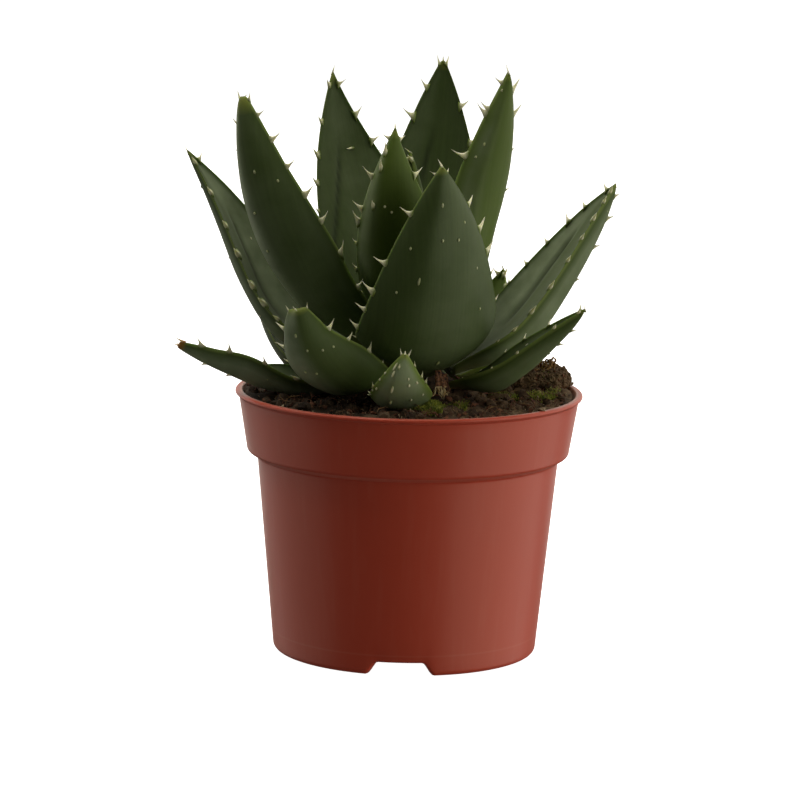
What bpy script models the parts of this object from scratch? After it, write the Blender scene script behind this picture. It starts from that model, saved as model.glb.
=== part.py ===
"""A young aloe in a moulded nursery pot, at its real size, in metres with +Z up.

The pot is a thin shell with a wide rim band, a lifted floor with drain holes and three notches
in its foot. The compost fills it, and the aloe's short stem stands in a hole in the compost.
The leaves sit round the stem on a golden-angle spiral, from the youngest at the centre to the
oldest outside, and each is one solid with its marginal teeth.
"""

import math
import random
from collections import namedtuple

import bmesh
import bpy
from mathutils import Matrix, Vector, noise

MM = 0.001
GAP = 0.3 * MM

# The pot, measured from the table up. Its axis stands a little to one side of the origin,
# because the origin is the middle of the whole plant's footprint.
AXIS = Vector((4.1 * MM, 0.0, 0.0))
POT_HEIGHT = 91 * MM
LIP_RADIUS = 60 * MM
LIP_HEIGHT = 1.9 * MM
BAND_TOP_RADIUS = 58.7 * MM
BAND_FOOT_RADIUS = 55.8 * MM
BAND_FOOT_HEIGHT = 69.5 * MM
BODY_TOP_RADIUS = 51.9 * MM
BODY_TOP_HEIGHT = 67 * MM
FOOT_RADIUS = 45.7 * MM
FOOT_ROUND = 2.2 * MM
POT_WALL = 1.2 * MM
FLOOR_LIFT = 3.95 * MM
FLOOR_THICKNESS = 1.3 * MM
POT_STEPS = 60

NOTCH_COUNT = 3
NOTCH_FIRST_DEG = 268.4
NOTCH_TOP_WIDTH = 16 * MM
NOTCH_FOOT_WIDTH = 24 * MM
NOTCH_HEIGHT = 4.5 * MM
DRAIN_COUNT = 6
DRAIN_RADIUS = 3.5 * MM
DRAIN_RING_RADIUS = 31 * MM
DRAIN_SIDES = 12

# The compost.
SOIL_EDGE_HEIGHT = 88.0 * MM
SOIL_RINGS = 9
SOIL_STEPS = 44
SOIL_ROUGHNESS = 0.8 * MM
SOIL_GRAIN = 11 * MM
CLOD_PLACE = Vector((47 * MM, 22 * MM))
CLOD_HEIGHT = 6.5 * MM
CLOD_SPREAD = 11 * MM
SOIL_HOLE_RADIUS = 22.4 * MM

# The stem: a short cone that the leaf bases clasp, over a root neck in the compost.
STEM_STEPS = 36
CORE_RADIUS = 4.0 * MM
CORE_HEIGHT = 103 * MM
SEAT_STEP_OUT = 1.05 * MM
SEAT_STEP_DOWN = 0.75 * MM
NECK_RADIUS = 9 * MM
NECK_TOP_HEIGHT = 76 * MM
NECK_FOOT_HEIGHT = 52 * MM

GOLDEN_ANGLE_DEG = 137.5
FIRST_AZIMUTH_DEG = 42.5

# The marginal teeth.
TOOTH_HEIGHT = 2.9 * MM
TOOTH_BASE = 2.6 * MM
TOOTH_THICKNESS = 1.5 * MM
TOOTH_SUNK = 1.0 * MM
TOOTH_SPACING = 9.0 * MM

# One row for each leaf, youngest first, in millimetres and degrees. trim turns the leaf away
# from the spiral, reach is its tip's distance from the stem's axis and tip its height above the
# table, rise is its slope where it leaves the stem and lift its slope at the tip, bend is how
# far the two slopes carry along it, sway moves the tip sideways, roll turns the blade about its
# own length, cup is the half angle that the blade curls through at its middle and taper is how
# full the blade stays on the way to its tip.
Leaf = namedtuple(
    "Leaf", "name trim reach tip width thick rise lift bend sway roll cup taper"
)
LEAVES = [
    Leaf("leaf_01_heart", 5.5, 1.5, 173.5, 16, 5, 90, 93, 0.3, 3.5, 0, 40, 1.8),
    Leaf("leaf_02_inner", -6, 28.5, 184, 31.5, 5.1, 87, 110, 0.41, -1, 17, 28, 2.05),
    Leaf("leaf_03_back_left", 2, 43, 197, 43.5, 6.8, 81.5, 86, 0.39, 1.5, -13, 15, 1.6),
    Leaf("leaf_04_right", -10.5, 34, 203, 31.5, 8, 75, 83, 0.31, -1.5, 2, 21, 1.95),
    Leaf("leaf_05_front_left", -14.5, 59.5, 192.5, 32.5, 8.3, 50, 78, 0.45, -1.5, 30, 18, 2.9),
    Leaf("leaf_06_back", 4, 53.5, 200.5, 43, 8.5, 65, 74, 0.31, 0.5, 3, 19, 1.7),
    Leaf("leaf_07_front", -11, 46, 174.5, 53, 7.6, 28, 86, 0.27, -4, 11, 26, 1.6),
    Leaf("leaf_08_left", 7, 80.5, 170.5, 33, 8.5, 23, 47, 0.44, -0.5, -17, 13, 1.6),
    Leaf("leaf_09_right_back", -3.5, 74, 161, 33.5, 9.4, 27, 47, 0.32, -0.5, 3, 19, 1.75),
    Leaf("leaf_10_low_front_left", -15.5, 62, 126.5, 27.5, 6.9, 12, 65, 0.39, 0.5, 28, 21, 2.45),
    Leaf("leaf_11_back_far", -2, 59.5, 169.5, 32, 9, 37, 65, 0.36, 0, 4, 19, 1.8),
    Leaf("leaf_12_low_right", 0, 67, 125.5, 20, 7.3, 18, 31, 0.31, 1.5, 18, 18, 1.5),
    Leaf("leaf_13_low_left", 1, 81, 109, 15.5, 6.6, 5, 16, 0.37, 1, -14, 13, 1.9),
    Leaf("leaf_14_low_back_right", 0.5, 57.5, 127.5, 26, 7.5, 12, 60, 0.36, 0, 0, 18, 1.8),
    Leaf("leaf_15_low_front", -12.5, 52, 112, 22.5, 4.5, 5, 82, 0.39, 3, 6, 6, 2.1),
    Leaf("leaf_16_low_back_left", 3, 71, 131.5, 31, 7.4, 9, 54, 0.38, 0, -8, 18, 1.8),
]

WIDEST_SHARE = 0.30
SHEATH_THICKNESS = 1.7 * MM
SHEATH_MOST_WRAP_DEG = 66
BASE_SHARE = 0.62
SHEATH_SHARE = 0.34
CHANNEL_SHARE = 0.16
RING_SHARES = (0.0, 0.05, 0.12, 0.20, 0.30, 0.42, 0.54, 0.66, 0.77, 0.87, 0.95)
INNER_FACE = (-1.0, -0.5, 0.0, 0.5, 1.0)
OUTER_FACE = (0.78, 0.4, 0.0, -0.4, -0.78)


def clear_scene():
    for obj in list(bpy.data.objects):
        bpy.data.objects.remove(obj)


def material(name, colour, roughness):
    """A plain plant or plastic material of one colour."""
    made = bpy.data.materials.new(name)
    made.use_nodes = True
    shader = made.node_tree.nodes["Principled BSDF"]
    shader.inputs["Base Color"].default_value = (*colour, 1.0)
    shader.inputs["Roughness"].default_value = roughness
    shader.inputs["Metallic"].default_value = 0.0
    return made


def new_object(name, bm, finish, smooth=True):
    mesh = bpy.data.meshes.new(name)
    bmesh.ops.recalc_face_normals(bm, faces=bm.faces)
    bm.to_mesh(mesh)
    bm.free()
    if smooth:
        mesh.shade_smooth()
        mesh.set_sharp_from_angle(angle=math.radians(40))
    obj = bpy.data.objects.new(name, mesh)
    obj.data.materials.append(finish)
    bpy.context.scene.collection.objects.link(obj)
    return obj


def turned(profile, steps):
    """A closed profile of (radius, height) points turned round the pot's axis."""
    bm = bmesh.new()
    rings = []
    for step in range(steps):
        angle = 2 * math.pi * step / steps
        out = Vector((math.cos(angle), math.sin(angle), 0))
        rings.append([bm.verts.new(AXIS + out * r + Vector((0, 0, z))) for r, z in profile])
    for here, there in zip(rings, rings[1:] + rings[:1]):
        for i in range(len(profile)):
            j = (i + 1) % len(profile)
            bm.faces.new((here[i], there[i], there[j], here[j]))
    bmesh.ops.remove_doubles(bm, verts=bm.verts, dist=0.01 * MM)
    return bm


def quarter_round(centre, radius, start_deg, end_deg, steps):
    points = []
    for i in range(steps + 1):
        angle = math.radians(start_deg + (end_deg - start_deg) * i / steps)
        points.append((centre[0] + radius * math.cos(angle), centre[1] + radius * math.sin(angle)))
    return points


def cut(obj, cutters):
    """Takes the cutters out of obj and removes them."""
    for cutter in cutters:
        cutter.hide_render = True
        cutter.display_type = "WIRE"
        boolean = obj.modifiers.new("cut", "BOOLEAN")
        boolean.operation = "DIFFERENCE"
        boolean.object = cutter
    bake_modifiers(obj)
    for cutter in cutters:
        bpy.data.objects.remove(cutter)


def bake_modifiers(obj):
    graph = bpy.context.evaluated_depsgraph_get()
    finished = bpy.data.meshes.new_from_object(obj.evaluated_get(graph))
    obj.modifiers.clear()
    obj.data = finished


def pot_profile():
    """The wall's section, down the outside and back up the inside."""
    round_centre = (FOOT_RADIUS - FOOT_ROUND, FOOT_ROUND)
    band_round = 1.6 * MM
    outer = [
        (LIP_RADIUS - 0.5 * MM, POT_HEIGHT),
        (LIP_RADIUS, POT_HEIGHT - 0.5 * MM),
        (LIP_RADIUS, POT_HEIGHT - LIP_HEIGHT + 0.4 * MM),
        (BAND_TOP_RADIUS, POT_HEIGHT - LIP_HEIGHT - 0.5 * MM),
    ]
    outer += quarter_round(
        (BAND_FOOT_RADIUS - band_round, BAND_FOOT_HEIGHT + band_round), band_round, 0, -80, 3
    )
    outer += [(BODY_TOP_RADIUS + 0.5 * MM, BODY_TOP_HEIGHT + 1.2 * MM), (BODY_TOP_RADIUS, BODY_TOP_HEIGHT)]
    outer += quarter_round(round_centre, FOOT_ROUND, 0, -90, 3)
    foot_inside = FOOT_RADIUS - FOOT_ROUND - 1.6 * MM
    under = [(foot_inside, 0.0), (foot_inside, FLOOR_LIFT), (0.0, FLOOR_LIFT)]
    inside = [
        (0.0, FLOOR_LIFT + FLOOR_THICKNESS),
        (FOOT_RADIUS - POT_WALL - 0.4 * MM, FLOOR_LIFT + FLOOR_THICKNESS),
        (BODY_TOP_RADIUS - POT_WALL, BODY_TOP_HEIGHT),
        (BAND_FOOT_RADIUS - POT_WALL, BAND_FOOT_HEIGHT + 1.8 * MM),
        (BAND_TOP_RADIUS - POT_WALL, POT_HEIGHT),
    ]
    return outer + under + inside


def notch_cutter(angle):
    """A wedge-sided block that cuts one notch through the foot."""
    bm = bmesh.new()
    below, reach_in, reach_out = -1.0 * MM, FOOT_RADIUS - 4.4 * MM, FOOT_RADIUS + 5 * MM
    flare = (NOTCH_FOOT_WIDTH - NOTCH_TOP_WIDTH) / 2 * (-below) / NOTCH_HEIGHT
    section = [
        (-NOTCH_TOP_WIDTH / 2, NOTCH_HEIGHT),
        (NOTCH_TOP_WIDTH / 2, NOTCH_HEIGHT),
        (NOTCH_FOOT_WIDTH / 2 + flare, below),
        (-NOTCH_FOOT_WIDTH / 2 - flare, below),
    ]
    near = [bm.verts.new((reach_in, y, z)) for y, z in section]
    far = [bm.verts.new((reach_out, y, z)) for y, z in section]
    bm.faces.new(near)
    bm.faces.new(reversed(far))
    for i in range(4):
        j = (i + 1) % 4
        bm.faces.new((near[j], near[i], far[i], far[j]))
    bm.transform(Matrix.Translation(AXIS) @ Matrix.Rotation(angle, 4, "Z"))
    return new_object("notch_cutter", bm, bpy.data.materials["moulded_plastic"], smooth=False)


def drain_cutter(place):
    bm = bmesh.new()
    bmesh.ops.create_cone(
        bm, cap_ends=True, segments=DRAIN_SIDES, radius1=DRAIN_RADIUS, radius2=DRAIN_RADIUS,
        depth=4 * FLOOR_THICKNESS, matrix=Matrix.Translation(place),
    )
    return new_object("drain_cutter", bm, bpy.data.materials["moulded_plastic"], smooth=False)


def build_pot(finish):
    pot = new_object("pot", turned(pot_profile(), POT_STEPS), finish)
    notches = [math.radians(NOTCH_FIRST_DEG + 360 * i / NOTCH_COUNT) for i in range(NOTCH_COUNT)]
    cutters = [notch_cutter(angle) for angle in notches]
    floor_middle = AXIS + Vector((0, 0, FLOOR_LIFT + FLOOR_THICKNESS / 2))
    for i in range(DRAIN_COUNT):
        angle = notches[0] + 2 * math.pi * i / DRAIN_COUNT
        out = Vector((math.cos(angle), math.sin(angle), 0)) * DRAIN_RING_RADIUS
        cutters.append(drain_cutter(floor_middle + out))
    cutters.append(drain_cutter(floor_middle))
    cut(pot, cutters)
    return pot


def soil_height(place):
    """The compost's height at a place given from the pot's axis."""
    spot = Vector((place.x, place.y, 0.0))
    bumps = noise.noise(spot / SOIL_GRAIN) * SOIL_ROUGHNESS
    clod = CLOD_HEIGHT * math.exp(-((place - CLOD_PLACE).length / CLOD_SPREAD) ** 2)
    return SOIL_EDGE_HEIGHT + bumps + clod


def inner_wall_radius(height):
    """The radius of the pot's inside at a height above the table."""
    foot = (FOOT_RADIUS - POT_WALL - 0.4 * MM, FLOOR_LIFT + FLOOR_THICKNESS)
    points = [
        foot,
        (BODY_TOP_RADIUS - POT_WALL, BODY_TOP_HEIGHT),
        (BAND_FOOT_RADIUS - POT_WALL, BAND_FOOT_HEIGHT + 1.8 * MM),
        (BAND_TOP_RADIUS - POT_WALL, POT_HEIGHT),
    ]
    for (r0, z0), (r1, z1) in zip(points, points[1:]):
        if height <= z1:
            return r0 + (r1 - r0) * (height - z0) / (z1 - z0)
    return points[-1][0]


def build_soil(finish):
    """The compost: it fills the pot, with an uneven top and a hole that the stem stands in."""
    bm = bmesh.new()
    clearance = GAP + 0.25 * MM
    floor = FLOOR_LIFT + FLOOR_THICKNESS + GAP
    levels = [floor, BODY_TOP_HEIGHT, BAND_FOOT_HEIGHT + 1.8 * MM]
    rim = inner_wall_radius(SOIL_EDGE_HEIGHT) - clearance
    columns = []
    for step in range(SOIL_STEPS):
        angle = 2 * math.pi * step / SOIL_STEPS
        out = Vector((math.cos(angle), math.sin(angle)))
        column = [(inner_wall_radius(z) - clearance, z) for z in levels]
        for ring in range(SOIL_RINGS + 1):
            radius = rim + (SOIL_HOLE_RADIUS - rim) * ring / SOIL_RINGS
            column.append((radius, soil_height(out * radius)))
        column += [(r + 1.3 * GAP, z - GAP) for r, z in NECK_PROFILE]
        columns.append([bm.verts.new(AXIS + Vector((out.x * r, out.y * r, z))) for r, z in column])
    for here, there in zip(columns, columns[1:] + columns[:1]):
        for i in range(len(here) - 1):
            bm.faces.new((here[i], there[i], there[i + 1], here[i + 1]))
    bm.faces.new([column[0] for column in reversed(columns)])
    bm.faces.new([column[-1] for column in columns])
    return new_object("compost", bm, finish)


# The stem's outline below the leaves, as radius and height. The hole in the compost follows it.
NECK_PROFILE = [
    (20.6 * MM, 87.2 * MM),
    (NECK_RADIUS, NECK_TOP_HEIGHT),
    (NECK_RADIUS * 0.75, NECK_FOOT_HEIGHT),
]


def seat(index):
    """(radius, height) of the inner edge of a leaf's base on the stem, youngest leaf first."""
    return CORE_RADIUS + SEAT_STEP_OUT * index, CORE_HEIGHT - SEAT_STEP_DOWN * index


def build_stem(finish):
    """The short stem: a cone under the leaf bases that narrows to the neck in the compost."""
    inner_radius, top = seat(0)
    outer_radius, foot = seat(len(LEAVES) + 1)
    profile = [
        (0.0, top + 4 * MM),
        (inner_radius - 1.2 * MM, top + 3 * MM),
        (inner_radius - GAP, top),
        (outer_radius - GAP, foot),
    ]
    profile += NECK_PROFILE + [(0.0, NECK_FOOT_HEIGHT)]
    return new_object("stem", turned(profile, STEM_STEPS), finish)


def smooth_step(x):
    x = min(1.0, max(0.0, x))
    return x * x * (3 - 2 * x)


class Blade:
    """The shape of one leaf: its midrib, and its section at every share of its length."""

    def __init__(self, leaf, index):
        self.leaf = leaf
        radius, height = seat(index)
        rise, lift = math.radians(leaf.rise), math.radians(leaf.lift)
        # A leaf that leaves the stem level starts further out, so its underside clears the cone.
        slope = SEAT_STEP_OUT / SEAT_STEP_DOWN
        clear = SHEATH_THICKNESS * max(0.0, slope * math.cos(rise) - math.sin(rise))
        self.azimuth = math.radians(FIRST_AZIMUTH_DEG - GOLDEN_ANGLE_DEG * index + leaf.trim)
        self.base_radius = radius + GAP + clear
        start = Vector((self.base_radius, 0, height))
        end = Vector((leaf.reach * MM, 0, leaf.tip * MM))
        carry = leaf.bend * (end - start).length
        self.controls = [
            start,
            start + carry * Vector((math.cos(rise), 0, math.sin(rise))),
            end - carry * Vector((math.cos(lift), 0, math.sin(lift))),
            end,
        ]
        self.half_width = leaf.width * MM / 2
        wrap = math.radians(SHEATH_MOST_WRAP_DEG)
        self.base_half_width = min(BASE_SHARE * self.half_width, wrap * self.base_radius)
        self.base_wrap = self.base_half_width / self.base_radius
        self.length = self.midrib_length()

    def rib(self, share):
        a, b, c, d = self.controls
        t, u = share, 1 - share
        place = a * u ** 3 + b * 3 * u * u * t + c * 3 * u * t * t + d * t ** 3
        place.y += self.leaf.sway * MM * share * share
        return place

    def midrib_length(self):
        steps = 40
        points = [self.rib(i / steps) for i in range(steps + 1)]
        return sum((q - p).length for p, q in zip(points, points[1:]))

    def axes(self, share):
        """The unit vectors along the leaf, across it, and out of its inner face."""
        near, far = max(0.0, share - 0.01), min(1.0, share + 0.01)
        along = (self.rib(far) - self.rib(near)).normalized()
        across = (Vector((0, 1, 0)) - along * along.y).normalized()
        inward = along.cross(across)
        turn = Matrix.Rotation(math.radians(self.leaf.roll) * smooth_step(share / 0.5), 3, along)
        return along, turn @ across, turn @ inward

    def width(self, share):
        """The half width. The leaf widens from its base, then tapers to its tip."""
        if share < WIDEST_SHARE:
            start = self.base_half_width / self.half_width
            part = start + (1 - start) * math.sin(math.pi / 2 * share / WIDEST_SHARE)
        else:
            part = 1 - ((share - WIDEST_SHARE) / (1 - WIDEST_SHARE)) ** self.leaf.taper
        return self.half_width * max(part, 0.0)

    def wrap(self, share):
        """The half angle that the section curls through: round the stem, then nearly flat."""
        cup = math.radians(self.leaf.cup)
        return cup + (self.base_wrap - cup) * (1 - smooth_step(share / SHEATH_SHARE))

    def thickness(self, share):
        full = self.leaf.thick * MM
        if share < WIDEST_SHARE:
            return SHEATH_THICKNESS + (full - SHEATH_THICKNESS) * smooth_step(share / WIDEST_SHARE)
        return full * (self.width(share) / self.half_width) ** 0.62

    def skin(self, share, across_share, outer):
        """A point of the leaf's surface, from the pot's axis."""
        along, across, inward = self.axes(share)
        half, wrap = self.width(share), self.wrap(share)
        bow = half / wrap
        angle = across_share * wrap
        flat = 1 - across_share * across_share
        depth = CHANNEL_SHARE * self.thickness(share) * smooth_step(share / SHEATH_SHARE) * flat
        if outer:
            full = 1 - abs(across_share) ** 2.2
            depth += self.thickness(share) * full ** 0.75
        sideways = bow * math.sin(angle) + depth * math.sin(angle)
        inwards = bow * (1 - math.cos(angle)) - depth * math.cos(angle)
        place = self.rib(share) + across * sideways + inward * inwards
        turn = Matrix.Rotation(self.azimuth, 3, "Z")
        return turn @ place

    def direction(self, share):
        turn = Matrix.Rotation(self.azimuth, 3, "Z")
        return [turn @ v for v in self.axes(share)]


def blade_mesh(blade):
    bm = bmesh.new()
    rings = []
    for share in RING_SHARES:
        ring = [blade.skin(share, u, False) for u in INNER_FACE]
        ring += [blade.skin(share, u, True) for u in OUTER_FACE]
        rings.append([bm.verts.new(AXIS + p) for p in ring])
    tip = bm.verts.new(AXIS + blade.skin(1.0, 0.0, False))
    count = len(rings[0])
    for here, there in zip(rings, rings[1:]):
        for i in range(count):
            j = (i + 1) % count
            bm.faces.new((here[i], here[j], there[j], there[i]))
    for i in range(count):
        bm.faces.new((rings[-1][i], rings[-1][(i + 1) % count], tip))
    middle = bm.verts.new(AXIS + (blade.skin(0, 0, False) + blade.skin(0, 0, True)) / 2)
    for i in range(count):
        bm.faces.new((rings[0][(i + 1) % count], rings[0][i], middle))
    return bm


def tooth_mesh(place, outward, along, inward, size):
    """A four-sided thorn on the leaf's edge that leans towards the tip."""
    bm = bmesh.new()
    root = place - outward * TOOTH_SUNK
    long, thin = along * TOOTH_BASE / 2 * size, inward * TOOTH_THICKNESS / 2 * size
    base = [bm.verts.new(root + offset) for offset in (long, thin, -long, -thin)]
    lean = (outward * 0.9 + along * 0.42 + inward * 0.12).normalized()
    point = bm.verts.new(place + lean * TOOTH_HEIGHT * size)
    bm.faces.new(base)
    for i in range(4):
        bm.faces.new((base[i], base[(i + 1) % 4], point))
    return bm


def tooth_shares(blade, first):
    """The places of the teeth along one edge: close near the tip, wider apart at the middle."""
    shares = []
    share = 0.965 - first
    while share > 0.16:
        shares.append(share)
        crowd = 0.55 + 0.45 * smooth_step((1 - share) / 0.25)
        share -= TOOTH_SPACING * crowd / blade.length
    return shares


def build_leaf(leaf, index, finish, draw):
    blade = Blade(leaf, index)
    obj = new_object(leaf.name, blade_mesh(blade), finish)
    teeth = bpy.data.collections.new(leaf.name + "_teeth")
    bpy.context.scene.collection.children.link(teeth)
    for side in (-1, 1):
        for share in tooth_shares(blade, draw.uniform(0.0, 0.04)):
            share += draw.uniform(-0.008, 0.008)
            along, across, inward = blade.direction(share)
            edge = blade.skin(share, side, False)
            beside = blade.skin(share, side * 0.8, False)
            outward = (edge - beside).normalized()
            size = draw.uniform(0.85, 1.1) * (0.55 + 0.45 * smooth_step((1 - share) / 0.2))
            tooth = new_object("tooth", tooth_mesh(AXIS + edge, outward, along, inward, size), finish)
            bpy.context.scene.collection.objects.unlink(tooth)
            teeth.objects.link(tooth)
    join = obj.modifiers.new("teeth", "BOOLEAN")
    join.operation = "UNION"
    join.solver = "MANIFOLD"
    join.operand_type = "COLLECTION"
    join.collection = teeth
    bake_modifiers(obj)
    for tooth in list(teeth.objects):
        bpy.data.objects.remove(tooth)
    bpy.data.collections.remove(teeth)
    return obj


def main():
    clear_scene()
    plastic = material("moulded_plastic", (0.28, 0.055, 0.03), 0.45)
    compost = material("compost", (0.03, 0.018, 0.011), 0.95)
    green = material("aloe_green", (0.035, 0.075, 0.018), 0.4)
    root = material("stem", (0.12, 0.075, 0.03), 0.8)
    build_pot(plastic)
    build_soil(compost)
    build_stem(root)
    draw = random.Random(7)
    for index, leaf in enumerate(LEAVES):
        build_leaf(leaf, index, green, draw)


main()
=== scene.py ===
"""The look of a young aloe in a moulded nursery pot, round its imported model, in metres, +Z up."""

import math
import random

import bmesh
import bpy
from mathutils import Matrix, Vector, noise


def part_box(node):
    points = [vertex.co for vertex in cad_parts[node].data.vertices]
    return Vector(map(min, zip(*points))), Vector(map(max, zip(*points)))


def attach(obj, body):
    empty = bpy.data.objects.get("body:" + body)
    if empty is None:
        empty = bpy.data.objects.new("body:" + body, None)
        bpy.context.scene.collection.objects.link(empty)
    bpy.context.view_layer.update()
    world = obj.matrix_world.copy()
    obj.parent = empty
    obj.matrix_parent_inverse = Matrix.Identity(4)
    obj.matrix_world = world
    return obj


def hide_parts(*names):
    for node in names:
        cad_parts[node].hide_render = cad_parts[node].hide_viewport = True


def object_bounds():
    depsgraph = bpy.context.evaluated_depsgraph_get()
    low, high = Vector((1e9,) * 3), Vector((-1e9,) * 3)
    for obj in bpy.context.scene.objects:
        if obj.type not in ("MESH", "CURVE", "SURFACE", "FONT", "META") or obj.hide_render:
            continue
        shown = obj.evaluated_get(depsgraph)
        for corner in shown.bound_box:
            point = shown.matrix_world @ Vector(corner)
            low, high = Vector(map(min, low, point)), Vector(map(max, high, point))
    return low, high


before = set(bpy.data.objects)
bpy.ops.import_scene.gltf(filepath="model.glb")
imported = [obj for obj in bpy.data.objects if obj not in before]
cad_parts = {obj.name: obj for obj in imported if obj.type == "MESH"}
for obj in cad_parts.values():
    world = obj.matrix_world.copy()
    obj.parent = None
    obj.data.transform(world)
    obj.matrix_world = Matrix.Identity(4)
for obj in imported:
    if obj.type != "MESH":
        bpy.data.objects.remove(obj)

cad_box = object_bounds()

# The pot: one thin shell of terracotta-coloured polypropylene, injection moulded, with a wide
# band under its lip, a lifted floor with drain holes and three notches in its foot.
MM = 0.001
pot_low, pot_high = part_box("pot")
POT_AXIS = Vector(((pot_low.x + pot_high.x) / 2, (pot_low.y + pot_high.y) / 2, 0.0))
POT_HEIGHT = pot_high.z
POT_WALL = 1.2 * MM
LIP_RADIUS = (pot_high.x - pot_low.x) / 2
LIP_HEIGHT = 1.9 * MM
LIP_ROUND, LIP_DROP, LIP_TUCK = 0.7 * MM, 0.9 * MM, 1.3 * MM
LIP_STEPS = 8
MOUTH_ROUND = 0.6 * MM
BAND_TOP_RADIUS = LIP_RADIUS - 1.3 * MM
BAND_FOOT_RADIUS = LIP_RADIUS - 4.2 * MM
BAND_FOOT_HEIGHT = 69.5 * MM
BAND_ROUND = 1.6 * MM
BAND_SPREAD = (BAND_TOP_RADIUS - BAND_FOOT_RADIUS) / (POT_HEIGHT - LIP_HEIGHT - BAND_FOOT_HEIGHT)
BODY_TOP_RADIUS = 51.9 * MM
BODY_TOP_HEIGHT = 67 * MM
STEP_ROUND, STEP_RISE = 1.3 * MM, 1.8 * MM
STEP_CORNER = (BODY_TOP_RADIUS + 1.4 * MM, BODY_TOP_HEIGHT + 0.3 * MM)
FOOT_RADIUS = 45.7 * MM
FOOT_ROUND = 2.2 * MM
FOOT_RIM_WIDTH, FOOT_EDGE_ROUND = 1.6 * MM, 0.5 * MM
FLOOR_LIFT = 3.95 * MM
FLOOR_THICKNESS = 1.3 * MM
FLOOR_ROUND, FLOOR_INSET = 1.5 * MM, 1.9 * MM
POT_STEPS = 360
NOTCH_COUNT = 3
NOTCH_FIRST_DEG = 268.4
NOTCH_TOP_WIDTH = 16 * MM
NOTCH_FOOT_WIDTH = 24 * MM
NOTCH_HEIGHT = 4.5 * MM
NOTCH_EASE = 9 * MM
DRAIN_COUNT = 6
DRAIN_RADIUS = 3.5 * MM
DRAIN_RING_RADIUS = 31 * MM
DRAIN_SIDES = 40
FLOOR_FLAT_RADIUS = DRAIN_RING_RADIUS + 8 * MM
WELD = 0.005 * MM


def smooth_step(x):
    """Rises from 0 to 1 with level ends."""
    x = min(1.0, max(0.0, x))
    return x * x * (3 - 2 * x)


def bend(centre, radius, start_deg, end_deg, steps=5):
    """The points of a rounded corner in a profile of radius and height."""
    turns = [math.radians(start_deg + (end_deg - start_deg) * i / steps) for i in range(steps + 1)]
    return [(centre[0] + radius * math.cos(a), centre[1] + radius * math.sin(a)) for a in turns]


def straight(start, end, steps):
    """The points between two ends of a straight stretch of a profile, without its ends."""
    shares = [i / steps for i in range(1, steps)]
    return [(start[0] + (end[0] - start[0]) * s, start[1] + (end[1] - start[1]) * s) for s in shares]


def pot_outside():
    """The outer skin from the lip's top to the edge of the foot."""
    points = bend((LIP_RADIUS - LIP_ROUND, POT_HEIGHT - LIP_ROUND), LIP_ROUND, 90, 0)
    overhang, lip_edge = LIP_RADIUS - BAND_TOP_RADIUS, POT_HEIGHT - LIP_DROP
    for i in range(LIP_STEPS + 1):
        part = i / LIP_STEPS
        points.append((LIP_RADIUS - overhang * smooth_step(part), lip_edge - LIP_TUCK * part))
    band_corner = (BAND_FOOT_RADIUS - BAND_ROUND, BAND_FOOT_HEIGHT + BAND_ROUND)
    band_foot = bend(band_corner, BAND_ROUND, 0, -75, 6)
    points += straight(points[-1], band_foot[0], 6) + band_foot
    points += bend(STEP_CORNER, STEP_ROUND, 110, 178, 4)
    foot = bend((FOOT_RADIUS - FOOT_ROUND, FOOT_ROUND), FOOT_ROUND, -4, -90, 6)
    return points + straight(points[-1], foot[0], 16) + foot


def pot_inside():
    """The underside of the foot and of the floor, and the inner skin back up to the lip."""
    foot_inside = FOOT_RADIUS - FOOT_ROUND - FOOT_RIM_WIDTH
    floor_top = FLOOR_LIFT + FLOOR_THICKNESS
    points = bend((foot_inside + FOOT_EDGE_ROUND, FOOT_EDGE_ROUND), FOOT_EDGE_ROUND, -90, -180, 3)
    points += [(foot_inside, FLOOR_LIFT), (FLOOR_FLAT_RADIUS, FLOOR_LIFT), (0.0, FLOOR_LIFT)]
    points += [(0.0, floor_top), (FLOOR_FLAT_RADIUS, floor_top)]
    floor_corner = (FOOT_RADIUS - POT_WALL - FLOOR_INSET, floor_top + FLOOR_ROUND)
    points += bend(floor_corner, FLOOR_ROUND, -90, -8, 4)
    points += [(BODY_TOP_RADIUS - POT_WALL, BODY_TOP_HEIGHT)]
    points += [(BAND_FOOT_RADIUS - POT_WALL, BAND_FOOT_HEIGHT + STEP_RISE)]
    mouth_corner = (BAND_TOP_RADIUS - POT_WALL + MOUTH_ROUND, POT_HEIGHT - MOUTH_ROUND)
    return points + bend(mouth_corner, MOUTH_ROUND, 180, 90, 4)


def notch_lift(angle):
    """How far the foot's edge is raised at an angle: flat in a notch, sloping at its ends."""
    pitch = 360 / NOTCH_COUNT
    off_centre = (math.degrees(angle) - NOTCH_FIRST_DEG + pitch / 2) % pitch - pitch / 2
    away = abs(math.radians(off_centre)) * FOOT_RADIUS
    slope = (NOTCH_FOOT_WIDTH / 2 - away) / ((NOTCH_FOOT_WIDTH - NOTCH_TOP_WIDTH) / 2)
    return NOTCH_HEIGHT * (0.35 * min(1.0, max(0.0, slope)) + 0.65 * smooth_step(slope))


def skinned(bm, rows, round_rows=True, round_points=True):
    """Lays faces between neighbouring rows of points, and on to the first again where it is round."""
    for here, there in zip(rows, rows[1:] + rows[:1] if round_rows else rows[1:]):
        for i in range(len(here) if round_points else len(here) - 1):
            j = (i + 1) % len(here)
            bm.faces.new((here[i], there[i], there[j], here[j]))


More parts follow.
